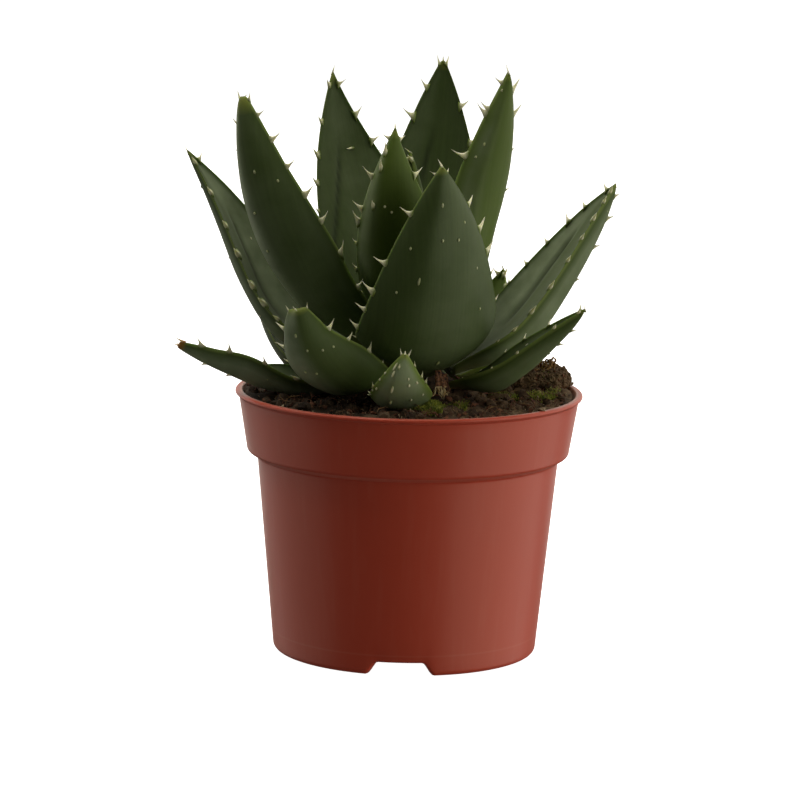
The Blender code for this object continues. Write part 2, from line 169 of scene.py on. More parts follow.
def finished(name, bm, finish, flat=False):
    """Turns a bmesh into a piece with one finish."""
    mesh = bpy.data.meshes.new(name)
    bmesh.ops.recalc_face_normals(bm, faces=bm.faces)
    bm.to_mesh(mesh)
    bm.free()
    if not flat:
        mesh.shade_smooth()
    piece = bpy.data.objects.new(name, mesh)
    mesh.materials.append(finish)
    bpy.context.scene.collection.objects.link(piece)
    return piece


def settled(piece):
    """Makes a piece's modifiers part of its mesh."""
    graph = bpy.context.evaluated_depsgraph_get()
    mesh = bpy.data.meshes.new_from_object(
        piece.evaluated_get(graph), preserve_all_data_layers=True, depsgraph=graph
    )
    piece.modifiers.clear()
    piece.data = mesh


def cleared(helpers):
    """Removes what only served to make a piece."""
    for helper in helpers:
        bpy.data.objects.remove(helper)


def linear(hex_colour):
    """An sRGB hex colour as the linear colour that a shader takes."""
    parts = [int(hex_colour[i:i + 2], 16) / 255 for i in (1, 3, 5)]
    return (*[p / 12.92 if p <= 0.04045 else ((p + 0.055) / 1.055) ** 2.4 for p in parts], 1.0)


def socket(sockets, key):
    """A socket by its place, its identifier or its name."""
    if isinstance(key, int):
        return sockets[key]
    return next((s for s in sockets if s.identifier == key), None) or sockets[key]


def feed(tree, target, links):
    """Links a node's inputs to other nodes or to their sockets."""
    for key, source in links.items():
        if isinstance(source, bpy.types.Node):
            source = next(s for s in source.outputs if s.enabled)
        tree.links.new(source, socket(target.inputs, key))


def add(tree, kind, links=None, values=None, **settings):
    """Adds a node, sets its properties and its free sockets, and links the others."""
    made = tree.nodes.new(kind)
    for name, value in settings.items():
        setattr(made, name, value)
    for key, value in (values or {}).items():
        socket(made.inputs, key).default_value = value
    feed(tree, made, links or {})
    return made


def finish_of(name, constants):
    """A new material with its tree and its Principled shader, which keeps these constants."""
    made = bpy.data.materials.new(name)
    made.use_nodes = True
    shader = made.node_tree.nodes["Principled BSDF"]
    for label, value in constants.items():
        shader.inputs[label].default_value = value
    return made, made.node_tree, shader


def painted(tree, colour, coats):
    """Lays coats of colour over a first colour, each of them where its mask says."""
    for mask, coat in coats:
        links, values = {"Factor_Float": mask}, {"B_Color": linear(coat)}
        if isinstance(colour, str):
            values["A_Color"] = linear(colour)
        else:
            links["A_Color"] = colour
        colour = add(tree, "ShaderNodeMix", links, values, data_type="RGBA")
    return colour


def maths(tree, operation, *parts, **settings):
    """A maths node over other nodes, sockets and plain numbers, in their order."""
    links = {i: part for i, part in enumerate(parts) if not isinstance(part, float)}
    values = {i: part for i, part in enumerate(parts) if isinstance(part, float)}
    return add(tree, "ShaderNodeMath", links, values, operation=operation, **settings)


def graded(tree, source, least, most, bottom=0.0, top=1.0):
    """Maps a source from one range to another, and no further than its ends."""
    return add(tree, "ShaderNodeMapRange", {"Value": source}, {
        "From Min": least, "From Max": most, "To Min": bottom, "To Max": top,
    })


def mottled(tree, where, scale, detail=2.0):
    """A noise texture over a map or a place."""
    return add(tree, "ShaderNodeTexNoise", {"Vector": where}, {"Scale": scale, "Detail": detail})


def relief(tree, height, strength, distance):
    """A bump that raises the skin where its height is large."""
    return add(tree, "ShaderNodeBump", {"Height": height}, {"Strength": strength, "Distance": distance})


def object_place(tree):
    """The place of a shaded point on its object."""
    return add(tree, "ShaderNodeTexCoord").outputs["Object"]


# Moulded polypropylene: satin, slightly cloudy in colour, with faint draw marks down the wall, one
# flow mark above the foot, and a dull film and stains of compost on the inside of the rim.
plastic, tree, shader = finish_of("moulded_polypropylene", {
    "IOR": 1.49, "Specular Tint": (1.0, 0.93, 0.78, 1.0), "Coat Weight": 0.09, "Coat Roughness": 0.22,
    "Sheen Weight": 0.15, "Sheen Roughness": 0.35, "Sheen Tint": (1.0, 0.90, 0.76, 1.0),
})
CLOUD_SIZE, STREAK_WIDTH, GRAIN_SIZE, STAIN_SIZE = 38 * MM, 3.2 * MM, 0.9 * MM, 2.6 * MM
DRAW_STRETCH = 0.035
centred = add(tree, "ShaderNodeMapping", {"Vector": object_place(tree)}, {"Location": -POT_AXIS})
drawn = add(tree, "ShaderNodeMapping", {"Vector": centred}, {"Scale": (1.0, 1.0, DRAW_STRETCH)})
cloud, streak, grain, blot = [
    mottled(tree, where, 1 / size, detail) for where, size, detail in (
        (centred, CLOUD_SIZE, 3.0), (drawn, STREAK_WIDTH, 4.0),
        (centred, GRAIN_SIZE, 2.0), (centred, STAIN_SIZE, 3.0),
    )
]
height = add(tree, "ShaderNodeSeparateXYZ", {"Vector": centred}).outputs["Z"]
draw_mark = graded(tree, streak, 0.52, 0.78, 0.0, 0.15)

FLOW_MARK_HEIGHT, FLOW_MARK_REACH = 7.2 * MM, 0.5 * MM
beside = maths(tree, "ABSOLUTE", maths(tree, "SUBTRACT", height, FLOW_MARK_HEIGHT))
flow_mark = graded(tree, beside, 0.0, FLOW_MARK_REACH, 0.16, 0.0)

FILM_RISE = 9 * MM
flat_place = add(tree, "ShaderNodeMapping", {"Vector": centred}, {"Scale": (1.0, 1.0, 0.0)})
from_axis = add(tree, "ShaderNodeVectorMath", {0: flat_place}, operation="LENGTH").outputs["Value"]
WALL_START = BAND_FOOT_RADIUS - BAND_SPREAD * BAND_FOOT_HEIGHT - POT_WALL / 2
mid_wall = maths(tree, "MULTIPLY_ADD", height, BAND_SPREAD, WALL_START)
behind_wall = maths(tree, "SUBTRACT", mid_wall, from_axis)
inside = graded(tree, behind_wall, -0.3 * MM, 0.1 * MM, 0.0, 0.75)
high = graded(tree, height, BAND_FOOT_HEIGHT, BAND_FOOT_HEIGHT + FILM_RISE)
dust = maths(tree, "MULTIPLY", inside, streak)
film = maths(tree, "MULTIPLY", dust, 1.5, use_clamp=True)
rim_film = maths(tree, "MULTIPLY", film, high)

STAIN_TOP, STAIN_WAVES = 90.9 * MM, 3.2 * MM
stain_line = maths(tree, "ADD", maths(tree, "MULTIPLY", blot, STAIN_WAVES), height)
stained = graded(tree, stain_line, STAIN_TOP + 1.0 * MM, STAIN_TOP - 0.2 * MM, 0.0, 0.9)
soiled = maths(tree, "MULTIPLY", stained, maths(tree, "MULTIPLY", inside, high))

colour = painted(tree, "#b63d24", [
    (cloud, "#c0472f"), (draw_mark, "#c8664f"), (flow_mark, "#cc7860"), (rim_film, "#b98c76"),
    (soiled, "#3d291d"),
])
gloss = graded(tree, cloud, 0.0, 1.0, 0.36, 0.50)
skin = relief(tree, maths(tree, "ADD", streak, grain), 0.10, 0.12 * MM)
feed(tree, shader, {"Base Color": colour, "Roughness": gloss, "Normal": skin})

bm = bmesh.new()
outside = pot_outside()
section = outside + pot_inside()
rings = []
for step in range(POT_STEPS):
    angle = 2 * math.pi * step / POT_STEPS
    out = Vector((math.cos(angle), math.sin(angle), 0))
    lift = notch_lift(angle)
    ring = []
    for i, (r, z) in enumerate(section):
        if i < len(outside) and z < NOTCH_EASE:
            z += lift * (1 - z / NOTCH_EASE)
        elif i >= len(outside) and z <= FLOOR_LIFT and r > FLOOR_FLAT_RADIUS + 1 * MM:
            z = max(z, lift + z * 0.2) if z < FLOOR_LIFT else max(z, lift + 0.1 * MM)
        ring.append(bm.verts.new(POT_AXIS + out * r + Vector((0, 0, z))))
    rings.append(ring)
skinned(bm, rings)
bmesh.ops.remove_doubles(bm, verts=bm.verts, dist=WELD)
pot = finished("pot_shell", bm, plastic)
drills = []
for i in range(DRAIN_COUNT + 1):
    turn = math.radians(NOTCH_FIRST_DEG) + 2 * math.pi * i / DRAIN_COUNT
    ring_radius = DRAIN_RING_RADIUS if i < DRAIN_COUNT else 0.0
    hole = POT_AXIS + Vector((math.cos(turn), math.sin(turn), 0)) * ring_radius
    hole.z = FLOOR_LIFT + FLOOR_THICKNESS / 2
    bm = bmesh.new()
    bmesh.ops.create_cone(
        bm, cap_ends=True, segments=DRAIN_SIDES, radius1=DRAIN_RADIUS, radius2=DRAIN_RADIUS,
        depth=4 * FLOOR_THICKNESS, matrix=Matrix.Translation(hole),
    )
    drills.append(finished("drill", bm, plastic))
    bored = pot.modifiers.new("drain_hole", "BOOLEAN")
    bored.object = drills[-1]
    bored.operation = "DIFFERENCE"
    bored.solver = "MANIFOLD"
settled(pot)
cleared(drills)
pot.data.shade_smooth()
pot.data.set_sharp_from_angle(angle=math.radians(38))
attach(pot, "root")
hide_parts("pot")

# The compost: peat with fibres, bark and grit, pressed into the pot by hand. It is heaped round the
# stem, rises in a few low swells and slopes up to the clod at the back right.
SOIL_EDGE_HEIGHT = 88.9 * MM
SOIL_ROUGHNESS = 0.8 * MM
SOIL_GRAIN = 11 * MM
LUMP_ROUGHNESS, LUMP_SIZE = 1.5 * MM, 5.0 * MM
LUMP_SHIFT = Vector((7, 3, 1))
CRUMB_ROUGHNESS, CRUMB_SIZE = 0.45 * MM, 1.5 * MM
HEAP_RADIUS, HEAP_HEIGHT, HEAP_SPREAD = 21.0 * MM, 3.6 * MM, 5.5 * MM
# For each swell: its middle, how far it rises and how far it spreads. The first is under the clod.
SWELLS = [
    (Vector((47 * MM, 22 * MM)), 6.5 * MM, 11 * MM), (Vector((0, -42)) * MM, 1.5 * MM, 15 * MM),
    (Vector((54, -4)) * MM, 1.3 * MM, 11 * MM), (Vector((-54, -6)) * MM, 1.7 * MM, 14 * MM),
]
SOIL_COLLAR_RADIUS = 19.2 * MM
SOIL_STEPS = 200
SOIL_RINGS = 46
NECK_PROFILE = [(20.6 * MM, 87.2 * MM), (9 * MM, 76 * MM), (6.75 * MM, 52 * MM)]
GAP = 0.3 * MM
SIDE_GAP = 0.55 * MM
SOIL_RIM = BAND_TOP_RADIUS - POT_WALL - 1.0 * MM


def soil_height(spot):
    """The compost's height at a place given from the pot's axis."""
    flat_spot = Vector((spot.x, spot.y, 0.0))
    height = SOIL_EDGE_HEIGHT + noise.noise(flat_spot / SOIL_GRAIN) * SOIL_ROUGHNESS
    for middle, rise, spread in SWELLS:
        height += rise * math.exp(-((spot - middle).length / spread) ** 2)
    return height + HEAP_HEIGHT * math.exp(-((spot.length - HEAP_RADIUS) / HEAP_SPREAD) ** 2)


def soil_crumb(spot):
    """The fine unevenness that the compost's crumbs give its surface."""
    flat_spot = Vector((spot.x, spot.y, 0.0))
    lumps = noise.noise(flat_spot / LUMP_SIZE + LUMP_SHIFT) * LUMP_ROUGHNESS
    return lumps + noise.noise(flat_spot / CRUMB_SIZE) * CRUMB_ROUGHNESS


# Damp peat: brown where it has dried, matt all over, and almost black at the left with painted shade.
peat, tree, shader = finish_of("damp_peat", {"Roughness": 0.9, "IOR": 1.4})
PATCH_SIZE, FLECK_SIZE, PORE_SIZE = 9 * MM, 1.3 * MM, 0.5 * MM
LEFT_SHADE_FROM, LEFT_SHADE_TO = 32 * MM, -20 * MM
place = object_place(tree)
patch, fleck, pore = [
    mottled(tree, place, 1 / size, detail)
    for size, detail in ((PATCH_SIZE, 4.0), (FLECK_SIZE, 3.0), (PORE_SIZE, 2.0))
]
leftwards = add(tree, "ShaderNodeSeparateXYZ", {"Vector": place}).outputs["X"]
brown = graded(tree, patch, 0.38, 0.66)
dry = graded(tree, fleck, 0.58, 0.72, 0.0, 0.55)
# Painted shade: the compost darkens towards the left, where the leaves above it shade it.
left_shade = graded(tree, leftwards, LEFT_SHADE_FROM, LEFT_SHADE_TO, 0.0, 0.7)
colour = painted(tree, "#3d2c1d", [(brown, "#7f684b"), (dry, "#a58d66"), (left_shade, "#1d1710")])
feed(tree, shader, {"Base Color": colour, "Normal": relief(tree, pore, 0.8, 0.35 * MM)})

bm = bmesh.new()
radius_layer = bm.verts.layers.float.new("from_axis")
OFF_THE_TOP = 1.0
side = [
    (FOOT_RADIUS - POT_WALL - 0.4 * MM - SIDE_GAP, FLOOR_LIFT + FLOOR_THICKNESS + GAP),
    (BODY_TOP_RADIUS - POT_WALL - SIDE_GAP, BODY_TOP_HEIGHT),
    (BAND_FOOT_RADIUS - POT_WALL - SIDE_GAP, BAND_FOOT_HEIGHT + STEP_RISE),
    (SOIL_RIM - 0.5 * MM, SOIL_EDGE_HEIGHT - 6 * MM),
]
columns = []
for step in range(SOIL_STEPS):
    angle = 2 * math.pi * step / SOIL_STEPS
    out = Vector((math.cos(angle), math.sin(angle)))
    column = [bm.verts.new(POT_AXIS + Vector((out.x * r, out.y * r, z))) for r, z in side]
    for vert in column:
        vert[radius_layer] = OFF_THE_TOP
    for ring in range(SOIL_RINGS + 1):
        radius = SOIL_RIM + (SOIL_COLLAR_RADIUS - SOIL_RIM) * ring / SOIL_RINGS
        spot = out * radius
        vert = bm.verts.new(POT_AXIS + Vector((spot.x, spot.y, soil_height(spot) + soil_crumb(spot))))
        vert[radius_layer] = radius
        column.append(vert)
    for r, z in NECK_PROFILE:
        away = Vector((out.x, out.y, 0)) * (r + 1.3 * GAP)
        vert = bm.verts.new(POT_AXIS + away + Vector((0, 0, z - GAP)))
        vert[radius_layer] = OFF_THE_TOP
        column.append(vert)
    columns.append(column)
skinned(bm, columns, round_points=False)
bm.faces.new([column[0] for column in reversed(columns)])
bm.faces.new([column[-1] for column in columns])
compost = finished("compost_bed", bm, peat)


def new_tree(name, inputs):
    """A Geometry Nodes tree with a geometry in and out and these named inputs."""
    made = bpy.data.node_groups.new(name, "GeometryNodeTree")
    made.is_modifier = True
    made.interface.new_socket("Geometry", in_out="INPUT", socket_type="NodeSocketGeometry")
    for label, kind in inputs.items():
        made.interface.new_socket(label, in_out="INPUT", socket_type="NodeSocket" + kind)
    made.interface.new_socket("Geometry", in_out="OUTPUT", socket_type="NodeSocketGeometry")
    return made, add(made, "NodeGroupInput"), add(made, "NodeGroupOutput")


def handed_over(node_tree, given, result, copies):
    """Ends a tree: the copies are made real, get their finish and join what came in."""
    finish = given.outputs["Finish"]
    real = add(node_tree, "GeometryNodeRealizeInstances", {"Geometry": copies})
    coloured = add(node_tree, "GeometryNodeSetMaterial", {"Geometry": real, "Material": finish})
    both = add(node_tree, "GeometryNodeJoinGeometry", {"Geometry": given.outputs["Geometry"]})
    feed(node_tree, both, {"Geometry": coloured})
    feed(node_tree, result, {"Geometry": both})


def dress(piece, node_tree, **values):
    """Adds a tree to a piece as a modifier and sets its inputs by their identifiers."""
    modifier = piece.modifiers.new(node_tree.name, "NODES")
    modifier.node_group = node_tree
    for item in node_tree.interface.items_tree:
        if item.in_out == "INPUT" and item.name in values:
            modifier[item.identifier] = values.pop(item.name)
    assert not values, f"{node_tree.name} has no inputs named {sorted(values)}"


# Strewn: copies of a form lie at random over the compost's top, sunk a little and turned any way.
strewn, given, result = new_tree("strewn", {
    "Form": "Object", "Bed": "Object", "Per square metre": "Float", "Smallest": "Float",
    "Largest": "Float", "Flatness": "Float", "Raised": "Float", "Reach": "Float", "Seed": "Int",
    "Finish": "Material",
})
bed = add(strewn, "GeometryNodeObjectInfo", {"Object": given.outputs["Bed"]})
form = add(strewn, "GeometryNodeObjectInfo", {"Object": given.outputs["Form"]}).outputs["Geometry"]
radius = add(strewn, "GeometryNodeInputNamedAttribute", values={"Name": "from_axis"}, data_type="FLOAT")
within = maths(strewn, "LESS_THAN", radius, given.outputs["Reach"])
crowd = maths(strewn, "MULTIPLY", within, given.outputs["Per square metre"])
spots = add(strewn, "GeometryNodeDistributePointsOnFaces", {
    "Mesh": bed.outputs["Geometry"], "Density": crowd, "Seed": given.outputs["Seed"],
})
size = add(strewn, "FunctionNodeRandomValue", {
    "Min_001": given.outputs["Smallest"], "Max_001": given.outputs["Largest"],
    "Seed": given.outputs["Seed"],
}, data_type="FLOAT")
turn = add(strewn, "FunctionNodeRandomValue", {"Seed": given.outputs["Seed"]}, {
    "Min": (0.0, 0.0, 0.0), "Max": (6.28, 6.28, 6.28),
}, data_type="FLOAT_VECTOR")
lying = add(strewn, "ShaderNodeVectorMath", {0: turn, 1: given.outputs["Flatness"]}, operation="MULTIPLY")
spin = add(strewn, "ShaderNodeSeparateXYZ", {"Vector": turn})
way = add(strewn, "ShaderNodeSeparateXYZ", {"Vector": lying})
turned_way = add(strewn, "ShaderNodeCombineXYZ", {
    "X": way.outputs["X"], "Y": way.outputs["Y"], "Z": spin.outputs["Z"],
})
placed = add(strewn, "GeometryNodeInstanceOnPoints", {
    "Points": spots.outputs["Points"], "Rotation": turned_way, "Scale": size, "Instance": form,
})
up = add(strewn, "ShaderNodeCombineXYZ", {"Z": given.outputs["Raised"]})
raised = add(strewn, "GeometryNodeTranslateInstances", {"Instances": placed, "Translation": up}, {
    "Local Space": False,
})
handed_over(strewn, given, result, raised)


def strew(piece, bed, form, finish, count, smallest, largest, flatness, raised, reach, seed):
    """Adds strewn copies of a form to a piece: so many on a square metre, with sizes in mm."""
    dress(piece, strewn, **{
        "Form": form, "Bed": bed, "Finish": finish, "Per square metre": count,
        "Smallest": smallest * MM, "Largest": largest * MM, "Flatness": flatness,
        "Raised": raised * MM, "Reach": reach, "Seed": seed,
    })


def bed_of(piece):
    """A copy of a piece as it is now, which stays the same while more is strewn over it."""
    bed = piece.copy()
    bed.data = piece.data.copy()
    bpy.context.scene.collection.objects.link(bed)
    return bed


def grit_form(name, shape, detail, seed):
    """An angular grain about one metre across, which a tree then scales down."""
    draw = random.Random(seed)
    bm = bmesh.new()
    bmesh.ops.create_icosphere(bm, subdivisions=detail, radius=0.5)
    for vert in bm.verts:
        vert.co *= draw.uniform(0.72, 1.12)
        vert.co = Vector([c * s for c, s in zip(vert.co, shape)])
    return finished(name, bm, peat, flat=True)


def tube(bm, centres, radii, sides):
    """A round bar along a row of points, closed at both ends."""
    rings = []
    for i, (centre, radius) in enumerate(zip(centres, radii)):
        heading = (centres[min(i + 1, len(centres) - 1)] - centres[max(i - 1, 0)]).normalized()
        across = heading.cross(Vector((0.31, 0.87, 0.38))).normalized()
        upward = heading.cross(across)
        turns = [2 * math.pi * k / sides for k in range(sides)]
        rings.append([
            bm.verts.new(centre + (across * math.cos(a) + upward * math.sin(a)) * radius) for a in turns
        ])
    skinned(bm, rings, round_rows=False)
    bm.faces.new(rings[0][::-1])
    bm.faces.new(rings[-1])


def wandering(draw, start, heading, length, steps, wander):
    """The points of a strand that leaves a place and keeps changing its heading."""
    points = [start.copy()]
    for _ in range(steps):
        heading = (heading + Vector([draw.uniform(-1, 1) * wander for _ in "xyz"])).normalized()
        points.append(points[-1] + heading * length / steps)
    return points


FIBRE_THICKNESS = 0.035


def fibre_form(name, seed, wander):
    """A curled root fibre about one metre long, which a tree then scales down."""
    bm = bmesh.new()
    points = wandering(random.Random(seed), Vector((-0.5, 0, 0)), Vector((1, 0, 0)), 1.0, 6, wander)
    radii = [FIBRE_THICKNESS / 2 * (1 - 0.7 * abs(i / 3 - 1) ** 2) for i in range(7)]
    tube(bm, points, radii, 4)
    return finished(name, bm, peat)


def plain_finish(name, dark, light, grain_size, roughness=0.85):
    """A dull natural finish that varies between two colours, with a rough skin."""
    made, node_tree, surface = finish_of(name, {"Roughness": roughness, "IOR": 1.4})
    cloudy = mottled(node_tree, object_place(node_tree), 1 / grain_size, 3.0)
    colour = painted(node_tree, dark, [(graded(node_tree, cloudy, 0.35, 0.65), light)])
    feed(node_tree, surface, {"Base Color": colour, "Normal": relief(node_tree, cloudy, 0.5, 0.2 * MM)})
    return made


bark = plain_finish("dry_bark_chips", "#4a2f20", "#7d5238", 2.2 * MM)
straw = plain_finish("pale_root_fibre", "#574228", "#94774c", 3.0 * MM)
chaff = plain_finish("beige_chaff", "#7c6a50", "#a8967a", 2.0 * MM)

crumb = grit_form("crumb", (1, 0.85, 0.7), 1, 3)
clump = grit_form("clump", (1, 0.85, 0.6), 2, 5)
chip = grit_form("chip", (1, 0.55, 0.22), 1, 9)
fibre = fibre_form("fibre", 21, 0.62)
hair_root = fibre_form("hair_root", 34, 1.1)
strew(compost, compost, crumb, peat, 560000.0, 0.7, 2.0, 1.0, 0.1, SOIL_RIM - 0.4 * MM, 11)
settled(compost)
# What lies on the compost, by piece: its form and finish, how many to a square metre, its smallest
# and largest size in mm, how far it may tip up, how high it lies in mm, and its random seed.
LITTER = {
    "soil_clumps": (clump, peat, 30000.0, 2.5, 6.5, 1.0, 0.2, 12),
    "bark_chips": (chip, bark, 52000.0, 1.5, 4.0, 0.15, 0.7, 13),
    "chaff_bits": (chip, chaff, 26000.0, 0.8, 2.2, 0.2, 0.9, 14),
    "root_fibres": (fibre, straw, 26000.0, 3.0, 8.0, 0.06, 1.0, 15),
    "hair_roots": (hair_root, bark, 60000.0, 3.0, 7.0, 0.12, 1.0, 16),
}
LITTER_INSET = 0.45
bed_only = bed_of(compost)
for name, (form, finish, count, smallest, largest, flatness, raised, seed) in LITTER.items():
    litter = finished(name, bmesh.new(), finish)
    reach = SOIL_RIM - largest * MM * LITTER_INSET
    strew(litter, bed_only, form, finish, count, smallest, largest, flatness, raised, reach, seed)
    settled(litter)
    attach(litter, "root")
cleared((bed_only, crumb, clump, chip, fibre, hair_root))
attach(compost, "root")
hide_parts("compost")

# The stem: a short woody cone that the leaf bases clasp, narrowing to the neck that roots in the
# compost. It is hidden but for slits between the leaves, and its skin is dry and ringed.
CORE_RADIUS = 4.0 * MM
CORE_HEIGHT = 103 * MM
SEAT_STEP_OUT = 1.05 * MM
SEAT_STEP_DOWN = 0.75 * MM
LEAF_COUNT = 16
STEM_SIDES = 96


def seat(index):
    """(radius, height) of the inner edge of a leaf's base on the stem, youngest leaf first."""
    return CORE_RADIUS + SEAT_STEP_OUT * index, CORE_HEIGHT - SEAT_STEP_DOWN * index


dry_stem = plain_finish("dry_stem_skin", "#2c2016", "#5a4630", 1.6 * MM)
inner_radius, stem_top = seat(0)
outer_radius, stem_foot = seat(LEAF_COUNT + 1)
profile = [
    (0.0, stem_top + 4 * MM), (inner_radius - 1.2 * MM, stem_top + 3 * MM),
    (inner_radius - GAP, stem_top), (outer_radius - GAP, stem_foot),
]
profile += NECK_PROFILE + [(0.0, NECK_PROFILE[-1][1])]
bm = bmesh.new()
columns = []
for step in range(STEM_SIDES):
    angle = 2 * math.pi * step / STEM_SIDES
    out = Vector((math.cos(angle), math.sin(angle), 0))
    columns.append([bm.verts.new(POT_AXIS + out * r + Vector((0, 0, z))) for r, z in profile])
skinned(bm, columns, round_points=False)
bmesh.ops.remove_doubles(bm, verts=bm.verts, dist=WELD)
stem = finished("stem_core", bm, dry_stem)
stem.data.set_sharp_from_angle(angle=math.radians(40))
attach(stem, "root")
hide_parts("stem")

# The leaves: fleshy three-sided blades that grow out of the stem on a golden-angle spiral, with a
# smooth waxy skin, pale thorns along both edges and pale warts on the faces.
# One row for each leaf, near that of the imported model: trim turns it away from the spiral, reach is
# its tip's distance from the axis and tip its height, rise and lift are its slopes at foot and tip,
# carry is how far the slopes carry, sway moves the tip sideways, roll turns the blade about its own
# length, cup is the half angle of its curl and taper is how full it stays towards its tip.
LEAVES = {
    "leaf_01_heart": (5.5, 1.5, 173.5, 16, 5, 90, 93, 0.3, 3.5, 0, 40, 1.8),
    "leaf_02_inner": (-6, 28.5, 185.3, 31.5, 5.1, 87, 110, 0.41, -1, 17, 28, 2.05),
    "leaf_03_back_left": (2, 43.5, 198, 43.5, 6.8, 81.5, 86, 0.39, 1.5, -13, 15, 1.6),
    "leaf_04_right": (-10.5, 34, 204.5, 31.5, 8, 75, 83, 0.31, -1.5, 2, 21, 1.95),
    "leaf_05_front_left": (-14.5, 59.8, 193.7, 32.5, 8.3, 50, 78, 0.45, -1.5, 30, 18, 2.9),
    "leaf_06_back": (4, 53.5, 201.4, 43, 8.5, 65, 74, 0.31, 0.5, 3, 19, 1.7),
    "leaf_07_front": (-11, 46, 174.5, 53, 7.6, 28, 86, 0.27, -4, 11, 26, 1.6),
    "leaf_08_left": (7, 81.7, 171.9, 33, 8.5, 23, 47, 0.44, -0.5, -17, 13, 1.6),
    "leaf_09_right_back": (-3.5, 75, 162.2, 33.5, 9.4, 27, 47, 0.32, -0.5, 3, 19, 1.75),
    "leaf_10_low_front_left": (-15.5, 62, 126.5, 27.5, 6.9, 12, 65, 0.39, 0.5, 28, 21, 2.45),
    "leaf_11_back_far": (-2, 59.5, 169.5, 32, 9, 37, 65, 0.36, 0, 4, 19, 1.8),
    "leaf_12_low_right": (0, 67, 125.5, 20, 7.3, 18, 31, 0.31, 1.5, 18, 18, 1.5),
    "leaf_13_low_left": (1, 82.2, 109, 15.5, 6.6, 5, 16, 0.37, 1, -14, 13, 1.9),
    "leaf_14_low_back_right": (0.5, 57.5, 127.5, 26, 7.5, 12, 60, 0.36, 0, 0, 18, 1.8),
    "leaf_15_low_front": (-12.5, 52, 112, 21.3, 4.5, 5, 82, 0.39, 3, 6, 6, 2.6),
    "leaf_16_low_back_left": (3, 71, 131.5, 31, 7.4, 9, 54, 0.38, 0, -8, 18, 1.8),
}
GOLDEN_ANGLE_DEG = 137.5
FIRST_AZIMUTH_DEG = 42.5
WIDEST_SHARE = 0.30
SHEATH_THICKNESS = 1.7 * MM
SHEATH_MOST_WRAP_DEG = 66
BASE_SHARE = 0.62
SHEATH_SHARE = 0.34
CHANNEL_SHARE = 0.16
RIB_STEPS = 90
FACE_STEPS = 40
# The keel on a leaf's outer face: its place across the face, from -1 to 1, and how sharp it is.
FAINT_KEEL = (0.0, 0.15)
KEELS = {
    "leaf_02_inner": (-0.62, 0.85), "leaf_04_right": (-0.6, 0.55), "leaf_05_front_left": (-0.2, 0.3),
    "leaf_07_front": (-0.35, 0.6), "leaf_10_low_front_left": (-0.1, 0.3),
    "leaf_12_low_right": (0.1, 0.4), "leaf_13_low_left": (0.0, 0.4), "leaf_15_low_front": (-0.4, 0.6),
}
# The crease along a leaf's inner face: its place across at 0.6 of the length, how far that moves
# for each unit of length, its depth and its half width across.
CREASES = {
    "leaf_03_back_left": (0.40, -1.7, 0.7 * MM, 0.05), "leaf_06_back": (0.28, -0.8, 0.35 * MM, 0.06),
    "leaf_08_left": (0.25, -1.3, 0.5 * MM, 0.07), "leaf_09_right_back": (0.30, 0.25, 0.8 * MM, 0.07),
}
# How far the upper half of a leaf is twisted further about its length, in degrees.
TWISTS = {"leaf_04_right": -27, "leaf_13_low_left": 42}
# The half width that a blunt tip keeps, and from where.
BLUNT_TIPS = {
    "leaf_05_front_left": 1.5 * MM, "leaf_06_back": 0.7 * MM, "leaf_10_low_front_left": 3.0 * MM,
    "leaf_13_low_left": 1.9 * MM, "leaf_15_low_front": 0.8 * MM,
}
BLUNT_FROM, BLUNT_CORNERS = 0.80, 40
# How far a tip has grown aside, and from where.
TIPS_ASIDE = {"leaf_05_front_left": -1.2 * MM, "leaf_10_low_front_left": 1.9 * MM}
ASIDE_FROM = 0.6
# Where the low front leaf is widest: it is full almost down to the compost.
WIDEST_SHARES = {"leaf_15_low_front": 0.24}
# Where a blade that runs out before its last spine ends, and from where it draws in to that end.
BLADE_ENDS = {
    "leaf_04_right": 0.988, "leaf_06_back": 0.992, "leaf_08_left": 0.990, "leaf_09_right_back": 0.989,
    "leaf_10_low_front_left": 0.984, "leaf_13_low_left": 0.990,
}
POINT_FROM = 0.85


